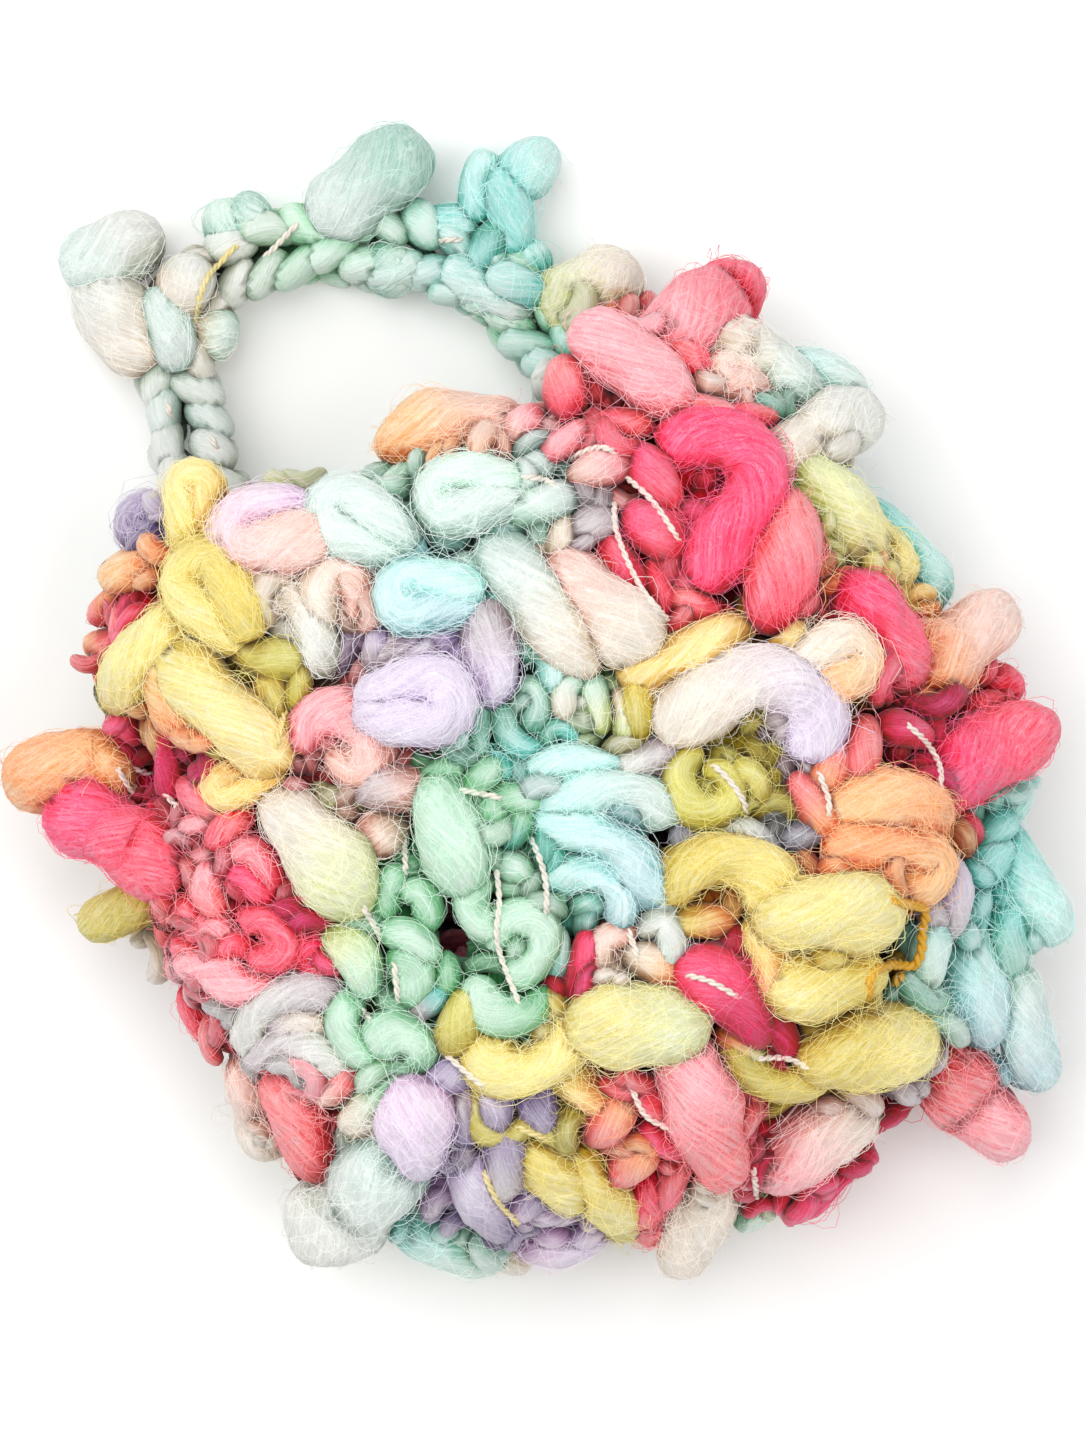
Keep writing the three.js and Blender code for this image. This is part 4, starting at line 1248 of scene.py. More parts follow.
@dataclass
class DyeMap:
    """The dye of the ground under each spot: the nearest slub's on the front, the yarn's run elsewhere."""

    form: BagForm
    slubs: tuple[Slub, ...]
    strands: tuple[Strand, ...]
    dye_long: float = 11 * MM
    dyes_round: int = 3
    middle_height: float = 20 * MM
    front_margin: float = 4 * MM

    def under(self, points: Array) -> Array:
        """Find the dyes under points.

        Args:
            points: places on the fabric.

        Returns:
            A linear colour for each.
        """
        spots = [(slub.x, slub.y) for slub in self.slubs]
        dyes = [*np.mean(dye_ends(self.slubs), axis=0)]
        for strand, dye in zip(self.strands, np.mean(dye_ends(self.strands), axis=0)):
            spots += strand.spots
            dyes += [dye] * len(strand.spots)
        away = np.linalg.norm(points[:, None, :2] - np.array(spots)[None] * MM, axis=-1)
        front = np.array(dyes)[np.argmin(away, axis=1)]
        turn = np.arctan2(points[:, 2] - self.middle_height, points[:, 0]) / (2 * math.pi)
        step = (points[:, 1] / self.dye_long + self.dyes_round * turn) % len(DYE_RUN)
        on_front = self.form.on_front(points, self.front_margin)
        return np.where(on_front[:, None], front, dye_along(DYE_RUN, step))


@dataclass
class GroundFabric:
    """The crocheted fabric under the puffs: a thin shell with rounds of stitches outside and inside."""

    form: BagForm
    colours: DyeMap
    stitch: float = 6.4 * MM
    inner_stitch: float = 8.5 * MM
    loop_wide: float = 4.5 * MM
    loop_reach: float = 0.6
    loop_apart: float = 0.26
    loop_bulge: float = 0.8 * MM
    splay: float = math.radians(32)
    outer_inset: float = 1.7 * MM
    inner_inset: float = 3.9 * MM
    gap_edge: float = 1 * MM
    # Painted shade: the dye of the ground stitches and the rim is darkened as they lie under the puffs, and
    # the shell's is darker still
    shade: float = 0.8
    shell_shade: float = 0.7
    shell_rounds: int = 56
    shell_sides: int = 96
    shell_start: float = 0.02
    shell_crowding: float = 1.6
    rim_step: float = 5.2 * MM
    rim_wide: float = 4.6 * MM
    rim_reach: float = 3.2 * MM
    rim_bulge: float = 0.6 * MM
    rim_lean: tuple[float, float] = (0.85, 0.5)
    base_margin: float = 0.05 * MM
    samples: int = 2000
    round_samples: int = 721

    def _rounds(self, spacing: float) -> Array:
        """Places of the rounds, evenly spaced along the bag's own curve from the base to the rim.

        Args:
            spacing: how far apart the rounds are.

        Returns:
            The place of each round.
        """
        y = np.linspace(self.form.base_y + self.base_margin, self.form.rim_y, self.samples)
        run = run_along(self.form.point(y, np.full(len(y), math.pi / 2)))
        return np.interp(np.arange(0.5 * spacing, run[-1], spacing), run, y)

    def _even_angles(self, y: float, spacing: float, inset: float, shift: float) -> Array:
        """Angles of stitches evenly spaced round one round.

        Args:
            y: the round's place.
            spacing: how far apart the stitches are.
            inset: how deep in the fabric they lie.
            shift: how far the round is turned, in stitches.

        Returns:
            An angle for each stitch.
        """
        angle = np.linspace(0, 2 * math.pi, self.round_samples)
        run = run_along(self.form.point(np.full(self.round_samples, y), angle, inset))
        count = max(3, round(run[-1] / spacing))
        return np.interp((np.arange(count) + shift) % count / count * run[-1], run, angle)

    def stitches(self, inset: float, outwards: float, stitch: float, seed: int) -> Strands:
        """Work the rounds of stitches, each a pair of splayed loops.

        Args:
            inset: how deep in the fabric the loops' middles lie.
            outwards: 1 where the loops bulge outwards, -1 where they bulge into the hollow.
            stitch: how far apart the stitches are.
            seed: seed of the loops' unevenness.

        Returns:
            The loops, without those in the open gaps.
        """
        centres, ahead, round_way = [], [], []
        small_step, small_turn = 0.2 * MM, 0.01
        for number, y in enumerate(self._rounds(stitch)):
            angles = self._even_angles(y, stitch, inset, 0.5 * (number % 2))
            places = np.full(len(angles), y)
            here = self.form.point(places, angles, inset)
            centres.append(here)
            ahead.append(self.form.point(places + small_step, angles, inset) - here)
            round_way.append(self.form.point(places, angles + small_turn, inset) - here)
        centre = np.concatenate(centres)
        up = unit(np.concatenate(ahead))
        way = unit(np.concatenate(round_way))
        normal = outwards * unit(np.cross(up, way))
        starts, middles, ends = [], [], []
        for side in (-1, 1):
            lean = math.cos(self.splay) * up + side * math.sin(self.splay) * way
            spot = centre + side * self.loop_apart * stitch * way
            starts.append(spot - lean * self.loop_reach * stitch)
            ends.append(spot + lean * self.loop_reach * stitch)
            middles.append(spot + normal * self.loop_bulge)
        start, middle, end = (np.concatenate(part) for part in (starts, middles, ends))
        keep = ~self._in_gap(middle)
        start, middle, end = start[keep], middle[keep], end[keep]
        # The dye under each loop, darkened as painted shade
        dyes = self.colours.under(middle) * self.shade
        width = np.full(len(start), self.loop_wide)
        return Strands(bent(start, middle, end), width, dyes, dyes, Detail(sides=8, rings=6, seed=seed))

    def _in_gap(self, points: Array) -> Array:
        """Which points of the front lie in an open gap.

        Args:
            points: places on the fabric.

        Returns:
            True in a gap.
        """
        inside = np.zeros(len(points), bool)
        front = self.form.on_front(points)
        for gap in GAPS:
            turn = math.radians(gap.turn)
            dx, dy = points[:, 0] - gap.x * MM, points[:, 1] - gap.y * MM
            along = (dx * math.cos(turn) + dy * math.sin(turn)) / (gap.long / 2 * MM + self.gap_edge)
            across = (dy * math.cos(turn) - dx * math.sin(turn)) / (gap.wide / 2 * MM + self.gap_edge)
            inside |= front & (along**2 + across**2 < 1)
        return inside

    def rim(self) -> Strands:
        """The chain of loops along the rim.

        Returns:
            A strand for each loop.
        """
        inset = (self.outer_inset + self.inner_inset) / 2
        angles = self._even_angles(self.form.rim_y, self.rim_step, inset, 0)
        here = self.form.point(np.full(len(angles), self.form.rim_y), angles, inset)
        way = unit(np.roll(here, -1, axis=0) - np.roll(here, 1, axis=0))
        lean = (way * self.rim_lean[0] + np.array([0, self.rim_lean[1], 0])) * self.rim_reach
        # The dye under each rim loop, darkened as painted shade
        dyes = self.colours.under(here) * self.shade
        spine = bent(here - lean, here + np.array([0, self.rim_bulge, 0]), here + lean)
        width = np.full(len(here), self.rim_wide)
        return Strands(spine, width, dyes, dyes, Detail(sides=12, rings=8, seed=SEED + 5))

    def arrays(self) -> MeshArrays:
        """Lay out the shell, outer skin to rim to inner skin, with the open gaps left out.

        Returns:
            The mesh's arrays.
        """
        sides = self.shell_sides
        angle = 2 * math.pi * np.arange(sides) / sides
        share = np.linspace(self.shell_start, 1, self.shell_rounds)
        y = self.form.base_y + (self.form.rim_y - self.form.base_y) * share**self.shell_crowding
        rows = []
        for inset, turn in ((self.outer_inset, 1), (self.inner_inset, -1)):
            rows += [self.form.point(np.full(sides, place), angle, inset) for place in y[::turn]]
        poles = [rows[0].mean(axis=0), rows[-1].mean(axis=0)]
        points = np.concatenate([*rows, poles])
        first, after = ring_steps(len(rows), sides)
        quads = np.stack([first[:-1], first[1:], after[1:], after[:-1]], axis=-1).reshape(-1, 4)
        quads = quads[~self._in_gap(points[quads].mean(axis=1))]
        bottom = np.stack([np.full(sides, len(points) - 2), first[0], after[0]], axis=-1)
        top = np.stack([np.full(sides, len(points) - 1), after[-1], first[-1]], axis=-1)
        dye = np.ones((len(points), 4))
        # The dye under the shell, darkened twice over as painted shade
        dye[:, :3] = self.colours.under(points) * self.shell_shade * self.shade
        return points, quads, np.concatenate([bottom, top]), {"dye": dye, "fibre": points}


class RoutePoint(NamedTuple):
    """A point of the strap's middle line, in mm."""

    x: float
    y: float
    z: float


STRAP_ROUTE = (
    RoutePoint(-26.5, 40.5, 10),
    RoutePoint(-26.2, 49, 8),
    RoutePoint(-25.8, 56, 5.2),
    RoutePoint(-25, 62.5, 4),
    RoutePoint(-22.6, 69, 3.9),
    RoutePoint(-17, 73.2, 3.8),
    RoutePoint(-10, 74.4, 3.8),
    RoutePoint(-3, 73.4, 3.8),
    RoutePoint(4, 70.8, 3.8),
    RoutePoint(10, 67.2, 3.8),
    RoutePoint(15, 62, 4),
    RoutePoint(18.4, 56, 5.2),
    RoutePoint(20.6, 49.5, 8),
    RoutePoint(21.2, 40.5, 10),
)


# The strap's puffs, each lifted by the height of its middle over the floor
STRAP_PUFFS = (
    Slub(-26.8, 80.7, 13.5, 9, 5, 5, Dye.ICE, Dye.WHITE),
    Slub(-28.8, 72.8, 15, 9, -72, 5.2, Dye.WHITE, Dye.CREAM),
    Slub(-23.3, 69.5, 11, 6, 80, 7, Dye.ICE),
    Slub(-19.7, 73.8, 8, 6.8, 30, 7.2, Dye.CREAM, Dye.WHITE),
    Slub(-18.5, 67.5, 6.5, 5.8, -30, 5.2, Dye.CREAM, Dye.MINT_ICE),
    Slub(-12.5, 79, 7, 5.3, 75, 4.6, Dye.SEAFOAM, Dye.MINT_ICE),
    Slub(-9.3, 78.8, 7, 5, 110, 4.8, Dye.MINT_ICE, Dye.SEAFOAM),
    Slub(5.3, 78.2, 17.5, 9.2, 20, 6, Dye.ICE, Dye.SEAFOAM, -0.5),
    Slub(4.5, 67.3, 7, 6.3, 0, 4.5, Dye.SEAFOAM, Dye.MINT_ICE),
    Slub(13, 69.5, 7.5, 5.5, -40, 4.5, Dye.AQUA, Dye.AQUA_PALE),
    Slub(18.8, 72.5, 9, 5, 60, 5, Dye.AQUA, Dye.AQUA_PALE, 1),
    Slub(20.3, 68.7, 11.5, 5.8, 80, 5.5, Dye.AQUA),
    Slub(24.6, 73.2, 8.5, 7, 20, 4.6, Dye.AQUA, Dye.AQUA_PALE),
    Slub(16.5, 65.5, 7, 4.8, 40, 6, Dye.AQUA, Dye.TEAL),
    Slub(20.7, 62, 6, 4.8, 80, 5, Dye.AQUA, Dye.AQUA_PALE),
    Slub(18.3, 59.8, 8.5, 4.8, -45, 7.5, Dye.AQUA_PALE, Dye.AQUA),
    Slub(14.6, 60.5, 13, 5.3, -50, 6, Dye.AQUA_PALE, Dye.ICE),
    Slub(26.3, 55.8, 14, 10, 15, 6.5, Dye.YELLOW_GREEN, Dye.CREAM),
    Slub(27.5, 51, 8, 6, -20, 9, Dye.PEACH, Dye.SALMON),
)

# The strap's own run of dyes, from its left root to its right root
STRAP_DYES = (
    Dye.SEAFOAM, Dye.WHITE, Dye.ICE, Dye.CREAM, Dye.WHITE, Dye.MINT, Dye.MINT_ICE,
    Dye.AQUA_PALE, Dye.MINT, Dye.AQUA_PALE, Dye.CREAM,
)


@dataclass
class FingerStrap:
    """The short crocheted strap: a plait of tight loops along its route, with its own puffs."""

    step: float = 4.2 * MM
    loop_long: float = 6.8 * MM
    loop_wide: float = 4.4 * MM
    half_width: float = 2.0 * MM
    half_height: float = 1.3 * MM
    splay: float = math.radians(28)
    bulge: tuple[float, float] = (1.2 * MM, 0.72 * MM)
    splay_spread: float = 0.16
    out_spread: float = 0.45 * MM
    size_spread: tuple[float, float] = (0.85, 1.15)
    tint_spread: tuple[float, float] = (0.95, 1.1)
    fullness: float = 1.05
    samples: int = 400
    plait_detail: Detail = Detail(sides=14, rings=10, seed=SEED + 7)
    puff_detail: Detail = Detail(sides=24, rings=18, seed=SEED + 8)

    def line(self, count: int) -> Array:
        """Evenly spaced points of the route."""
        return even_curve(np.array(STRAP_ROUTE) * MM, count)

    def plait(self) -> Strands:
        """The chain's loops: two upper rows and two lower rows, each loop a little out of line.

        Returns:
            A strand for each loop.
        """
        rng = np.random.default_rng(SEED + 6)
        count = round(float(run_along(self.line(self.samples))[-1]) / self.step)
        points = self.line(count)
        ahead = unit(np.gradient(points, axis=0))
        aside = unit(np.cross(np.array([0, 0, 1.0]), ahead))
        up = np.cross(ahead, aside)
        dye = dye_along(STRAP_DYES, np.linspace(0, len(STRAP_DYES) - LAST_STEP, count))
        starts, middles, ends, widths, tints = [], [], [], [], []
        for side, level in ((1, 1), (-1, 1), (1, -1), (-1, -1)):
            splay = (self.splay + rng.normal(0, self.splay_spread, count))[:, None]
            long = self.loop_long * rng.uniform(*self.size_spread, count)[:, None]
            lean = np.cos(splay) * ahead - side * level * np.sin(splay) * aside
            nudge = ahead * (0.5 * self.step if side > 0 else 0.0)
            out = self.half_width + rng.normal(0, self.out_spread, count)[:, None]
            spot = points + nudge + side * out * aside + level * self.half_height * up
            starts.append(spot - lean * long / 2)
            ends.append(spot + lean * long / 2)
            middles.append(spot + self.bulge[0] * side * aside + self.bulge[1] * level * up)
            widths.append(self.loop_wide * rng.uniform(*self.size_spread, count))
            tints.append(dye * rng.uniform(*self.tint_spread, (count, 1)))
        spine = bent(*(np.concatenate(part) for part in (starts, middles, ends)))
        tint = np.concatenate(tints)
        return Strands(spine, np.concatenate(widths), tint, tint, self.plait_detail)

    def puffs(self) -> Strands:
        """The strap's puffs.

        Returns:
            A strand for each puff.
        """
        middle, reach, bow, wide, height = slub_columns(STRAP_PUFFS)
        spots = bent(middle - reach, middle + bow, middle + reach)
        level = np.broadcast_to(height[:, None, None], (*spots.shape[:2], 1))
        spine = np.concatenate([spots, level], axis=-1)
        return Strands(spine, self.fullness * wide, *dye_ends(STRAP_PUFFS), self.puff_detail)


class ThreadRun(NamedTuple):
    """A run of the binder thread that shows: its spots in mm, its dye, and its thickness against others."""

    spots: tuple[tuple[float, float], ...]
    dye: Dye = Dye.THREAD_WHITE
    thick: float = 1.0


THREAD_RUNS = (
    ThreadRun(((22, 33), (24, 29), (25.5, 23))),
    ThreadRun(((20, 31), (18.8, 27), (19.2, 20), (21, 15))),
    ThreadRun(((16, 37), (20, 37.2), (22.5, 35.5))),
    ThreadRun(((10, 37), (12.5, 36), (14.5, 34))),
    ThreadRun(((-47, 22), (-46, 17))),
    ThreadRun(((-45.5, 21), (-43, 18.5))),
    ThreadRun(((-42.5, 17), (-41, 13.5))),
    ThreadRun(((-25, 21), (-28, 16)), Dye.THREAD_YELLOW),
    ThreadRun(((-17, 2), (-18.5, -3))),
    ThreadRun(((-24.5, -3.5), (-23.5, -9))),
    ThreadRun(((-23, -11), (-24.5, -17))),
    ThreadRun(((-29, -15), (-28, -18))),
    ThreadRun(((-9.5, 5), (-6, 3), (-4, 1.5))),
    ThreadRun(((-8, -5), (-9, -9), (-11, -14), (-11, -22))),
    ThreadRun(((-3, -3), (-3, -8), (-4.5, -13))),
    ThreadRun(((19.5, -2), (21, -4.5), (22, -8), (21.5, -10))),
    ThreadRun(((31.5, -7), (31.5, -11), (30.5, -14))),
    ThreadRun(((43, -5.5), (45, -9), (45.5, -12), (44.5, -15))),
    ThreadRun(((8, -24.5), (11, -26.5), (14, -30))),
    ThreadRun(((12.5, -37), (16.5, -38.5), (19, -41))),
    ThreadRun(((-21.5, -23.5), (-19, -28), (-17.5, -29.5))),
    ThreadRun(((-17, -34.5), (-13, -38)), Dye.THREAD_YELLOW),
    ThreadRun(((-22, -38), (-21.5, -43), (-20, -47)), Dye.THREAD_YELLOW),
    ThreadRun(((-2, -35), (-1.5, -39), (1, -42))),
    ThreadRun(((8.5, -49), (7.5, -54))),
    ThreadRun(((4, -17), (4, -22))),
    ThreadRun(((-20.2, 69.1), (-17, 73.4), (-14, 75.3), (-11.5, 76.5)), Dye.THREAD_YELLOW),
    ThreadRun(((-23.2, 56.1), (-22.8, 52.6))),
    ThreadRun(((-26.7, 61.7), (-27, 58.4))),
    ThreadRun(((-10, 73.5), (-3.5, 76.5))),
    ThreadRun(((10.5, 68.5), (14.5, 67.3))),
    ThreadRun(
        (
            (34, -24), (35, -25.5), (38, -27.5), (36.8, -30), (36, -32), (34.5, -33.5), (32.5, -32.5),
            (29.5, -32.3), (28, -35),
        ),
        Dye.THREAD_GOLD,
        1.7,
    ),
    ThreadRun(((33.5, -33), (31.5, -35.3)), Dye.THREAD_GOLD, 1.7),
)


@dataclass
class BinderThread:
    """The thin two-ply thread that binds the slubs, where it crosses over them."""

    ply: float = 0.23 * MM
    pitch: float = 2.4 * MM
    clearance: float = 0.1 * MM
    spread: float = 0.85
    end_long: float = 1.5 * MM
    tuck: float = 1.2 * MM
    points: int = 36
    sides: int = 6
    tightenings: int = 6
    reach: int = 2

    def _draped(self, run: ThreadRun, ground: BVHTree) -> Array:
        """Lay a run over what is under it, taut across dips and tucked in at its ends.

        Args:
            run: the run's spots.
            ground: the surfaces under it.

        Returns:
            Points of the middle line.
        """
        smooth = even_curve(np.array(run.spots) * MM, self.points)
        way = run_along(smooth)
        heights = []
        for x, y in smooth:
            hit = ground.ray_cast(Vector((x, y, SKY)), Vector((0, 0, -1)))[0]
            heights.append(hit.z if hit else 0.0)
        height = np.array(heights)
        window = np.full(2 * self.reach + 1, 1 / (2 * self.reach + 1))
        for _ in range(self.tightenings):
            bridged = np.convolve(np.pad(height, self.reach, mode="edge"), window, mode="valid")
            height = np.maximum(height, bridged)
        ends = np.minimum(1, np.minimum(way, way[-1] - way) / self.end_long)
        height = height + self.clearance + self.ply * ends - self.tuck * (1 - ends)
        return np.concatenate([smooth, height[:, None]], axis=1)

    def arrays(self, ground: BVHTree) -> MeshArrays:
        """Twist the two plies of each run.

        Args:
            ground: the surfaces under the runs.

        Returns:
            The mesh's arrays.
        """
        paths, dyes, plies = [], [], []
        for run in THREAD_RUNS:
            ply = self.ply * run.thick
            line = self._draped(run, ground)
            ahead = unit(np.gradient(line, axis=0))
            aside = unit(np.cross(ahead, np.array([0, 0, 1.0])))
            up = np.cross(aside, ahead)
            turn = 2 * np.pi * run_along(line) / self.pitch
            for half in (0, np.pi):
                offset = np.cos(turn + half)[:, None] * aside + np.sin(turn + half)[:, None] * up
                paths.append(line + self.spread * ply * offset)
                dyes.append(run.dye.light)
                plies.append(ply)
        radii = np.repeat(np.array(plies)[:, None], self.points, axis=1)
        return tube_arrays(np.array(paths), radii, self.sides, np.array(dyes))


# A hair's thickness at its ends against its middle, and how much hairs differ
HAIR_END = 0.35
HAIR_SPREAD = (0.7, 1.2)


def hair_radii(rng: np.random.Generator, radius: float, count: int, points: int) -> Array:
    """Taper hairs towards both ends, each a little thicker or thinner than the rest.

    Args:
        rng: source of the draws.
        radius: usual radius at a hair's middle.
        count: how many hairs there are.
        points: points along a hair.

    Returns:
        A radius at each point of each hair.
    """
    taper = HAIR_END + (1 - HAIR_END) * np.sin(math.pi * np.linspace(0, 1, points))
    return radius * taper * rng.uniform(*HAIR_SPREAD, (count, 1))


@dataclass
class LooseFibres:
    """The fine fibres that cling to the puffs, thicker than real ones so that they show."""

    radius: float = 0.046 * MM
    stride: float = 1.25 * MM
    points: int = 6
    sides: int = 3
    combed: float = 0.68
    stray: float = 0.3
    curl: float = 0.34
    combed_curl: float = 0.3
    wander: float = 0.14
    overhang: float = 0.1
    palest: float = 0.5
    least_pale: float = 0.15
    lift: float = 0.5 * MM
    least_lift: float = 0.05 * MM
    root_lift: float = 0.02 * MM
    landing: float = 1.25
    start_margin: float = 0.06
    end_margin: float = 0.02
    side_margin: float = 0.15

    def arrays(self, strands: Strands, count: int, seed: int) -> MeshArrays:
        """Let fibres lie along the strands or curl across them.

        Args:
            strands: the strands that they cling to.
            count: how many fibres to lay.
            seed: seed of their ways.

        Returns:
            The mesh's arrays.
        """
        rng = np.random.default_rng(seed)
        area = strands.length * strands.width
        which = rng.choice(len(area), count, p=area / area.sum())
        along = rng.uniform(self.start_margin, 1 - self.start_margin, count)
        angle = rng.uniform(self.side_margin, math.pi - self.side_margin, count)
        combed = rng.uniform(size=count) < self.combed
        lie = rng.integers(0, 2, count) * math.pi + rng.normal(0, self.stray, count)
        heading = np.where(combed, lie, rng.uniform(0, 2 * math.pi, count))
        bend = rng.normal(0, np.where(combed, self.combed_curl * self.curl, self.curl))
        lifted = rng.exponential(self.lift, count) + self.least_lift
        paler = rng.uniform(self.least_pale, self.palest, (count, 1))
        dyes = strands.dye_at(which, along) ** (1 - paler)
        length, radius = strands.length[which], strands.width[which] / 2
        rows = []
        for share in np.linspace(0, 1, self.points):
            out = self.root_lift + lifted * np.sin(math.pi * np.clip(share * self.landing, 0, 1))
            rows.append(strands.surface(which, along, angle, out))
            heading = heading + bend + rng.normal(0, self.wander, count)
            along = along + np.cos(heading) * self.stride / length
            along = np.clip(along, self.end_margin, 1 - self.end_margin)
            angle = angle + np.sin(heading) * self.stride / radius
            angle = np.clip(angle, -self.overhang, math.pi + self.overhang)
        radii = hair_radii(rng, self.radius, count, self.points)
        return tube_arrays(np.stack(rows, axis=1), radii, self.sides, dyes)


@dataclass
class Pile:
    """Yarn that has been laid, to cast rays at, with the dye of each face."""

    batches: list[Strands]
    tree: BVHTree = field(init=False)
    dyes: Array = field(init=False)

    def __post_init__(self) -> None:
        """Gather all the faces."""
        points: list[Array] = []
        dyes: list[Array] = []
        faces: list[list[int]] = []
        shift = 0
        for batch in self.batches:
            vertices, quads, triangles, layers = batch.arrays()
            points.append(vertices)
            dyes.append(layers["dye"][np.concatenate([quads[:, 0], triangles[:, 1]]), :3])
            faces += (quads + shift).tolist() + (triangles + shift).tolist()
            shift += len(vertices)
        self.tree = BVHTree.FromPolygons(np.concatenate(points).tolist(), faces)
        self.dyes = np.concatenate(dyes)


@dataclass
class Relief:
    """The height and the dye of what lies uppermost, on a fine grid, for hairs and small curls to lie on."""

    pile: Pile
    cell: float = 0.6 * MM
    low: tuple[float, float] = (-64 * MM, -66 * MM)
    size: tuple[int, int] = (220, 262)
    strap_low: float = 49 * MM
    strap_right: float = 24 * MM
    least_height: float = 3 * MM
    bridgings: int = 3
    reach: int = 2
    height: Array = field(init=False)
    bridged: Array = field(init=False)
    dye: Array = field(init=False)

    def __post_init__(self) -> None:
        """Look straight down on each spot of the grid, and bridge the narrow gaps."""
        down = Vector((0, 0, -1))
        self.height = np.zeros(self.size)
        self.dye = np.ones((*self.size, 3))
        for i, j in np.ndindex(*self.size):
            spot = Vector((self.low[0] + i * self.cell, self.low[1] + j * self.cell, SKY))
            hit, _, face, _ = self.pile.tree.ray_cast(spot, down)
            if hit:
                self.height[i, j] = hit.z
                self.dye[i, j] = self.pile.dyes[face]
        self.bridged = self.height
        for _ in range(self.bridgings):
            self.bridged = np.maximum(self.height, self._blurred(self.bridged))

    def _blurred(self, grid: Array) -> Array:
        """Average a grid over a square of neighbours.

        Args:
            grid: a value for each cell.

        Returns:
            The averages.
        """
        shifts = range(-self.reach, self.reach + 1)
        for axis in (0, 1):
            grid = np.mean([np.roll(grid, shift, axis) for shift in shifts], axis=0)
        return grid

    def sample(self, grid: Array, spots: Array) -> Array:
        """Read a grid at spots, between its points.

        Args:
            grid: one of the relief's grids.
            spots: places on the front.

        Returns:
            A value for each spot.
        """
        place = (spots - np.array(self.low)) / self.cell
        place = np.clip(place, 0, np.array(self.size) - LAST_STEP)
        low = place.astype(int)
        fx, fy = np.moveaxis(place - low, -1, 0)
        i, j = np.moveaxis(low, -1, 0)
        near = grid[i, j] * (1 - fx) + grid[i + 1, j] * fx
        far = grid[i, j + 1] * (1 - fx) + grid[i + 1, j + 1] * fx
        return near * (1 - fy) + far * fy

    def dye_under(self, spots: Array) -> Array:
        """The dye of what lies uppermost at each spot.

        Args:
            spots: places on the front.

        Returns:
            A linear colour for each spot.
        """
        place = np.rint((spots[..., :2] - np.array(self.low)) / self.cell).astype(int)
        i, j = np.moveaxis(np.clip(place, 0, np.array(self.size) - 1), -1, 0)
        return self.dye[i, j]

    def scatter(self, rng: np.random.Generator, count: int, deeper_than: float) -> Array:
        """Pick spots on the bag at random, off the strap.

        Args:
            rng: source of the draws.
            count: how many spots to pick.
            deeper_than: how far below the bridged height each spot has to lie.

        Returns:
            The spots.
        """
        wanted = (self.height > self.least_height) & (self.bridged - self.height >= deeper_than)
        cells = np.argwhere(wanted) * self.cell + np.array(self.low)
        cells = cells[(cells[:, 1] < self.strap_low) | (cells[:, 0] > self.strap_right)]
        return cells[rng.integers(0, len(cells), count)] + self.cell * rng.uniform(-0.5, 0.5, (count, 2))


@dataclass
class HairWeb:
    """The fine curly hairs that lie over the puffs and across the gaps between them."""

    relief: Relief
    count: int = 1200
    radius: float = 0.044 * MM
    stride: float = 1.05 * MM
    points: int = 11
    sides: int = 3
    curl: float = 0.5
    wander: float = 0.22
    lift: float = 0.25 * MM
    least_lift: float = 0.06 * MM
    fall: float = 0.5 * MM
    stub: float = 0.12
    lowest: float = 2 * MM
    steepest: float = 4 * MM
    least_pale: float = 0.15
    palest: float = 0.5

    def arrays(self, seed: int) -> MeshArrays:
        """Let hairs curl over the pouch, and turn back where it falls off steeply.

        Args:
            seed: seed of their ways.

        Returns:
            The mesh's arrays.
        """
        rng = np.random.default_rng(seed)
        relief = self.relief
        spots = relief.scatter(rng, self.count, 0.0)
        heading = rng.uniform(0, 2 * math.pi, self.count)
        bend = rng.normal(0, self.curl, self.count)
        lift = self.least_lift + rng.exponential(self.lift, self.count)
        height = relief.sample(relief.bridged, spots) + lift
        rows = [np.concatenate([spots, height[:, None]], axis=1)]
        for _ in range(self.points - 1):
            heading = heading + bend + rng.normal(0, self.wander, self.count)
            step = self.stride * np.stack([np.cos(heading), np.sin(heading)], axis=-1)
            here = relief.sample(relief.height, spots)
            ahead = relief.sample(relief.height, spots + step)
            off = (ahead < self.lowest) | (np.abs(ahead - here) > self.steepest)
            spots = spots + np.where(off, -self.stub, 1.0)[:, None] * step
            height = np.maximum(relief.sample(relief.bridged, spots) + lift, height - self.fall)
            rows.append(np.concatenate([spots, height[:, None]], axis=1))
        paths = np.stack(rows, axis=1)
        paler = rng.uniform(self.least_pale, self.palest, (self.count, 1, 1))
        dyes = relief.dye_under(paths) ** (1 - paler)
        radii = hair_radii(rng, self.radius, self.count, self.points)
        return tube_arrays(paths, radii, self.sides, dyes)


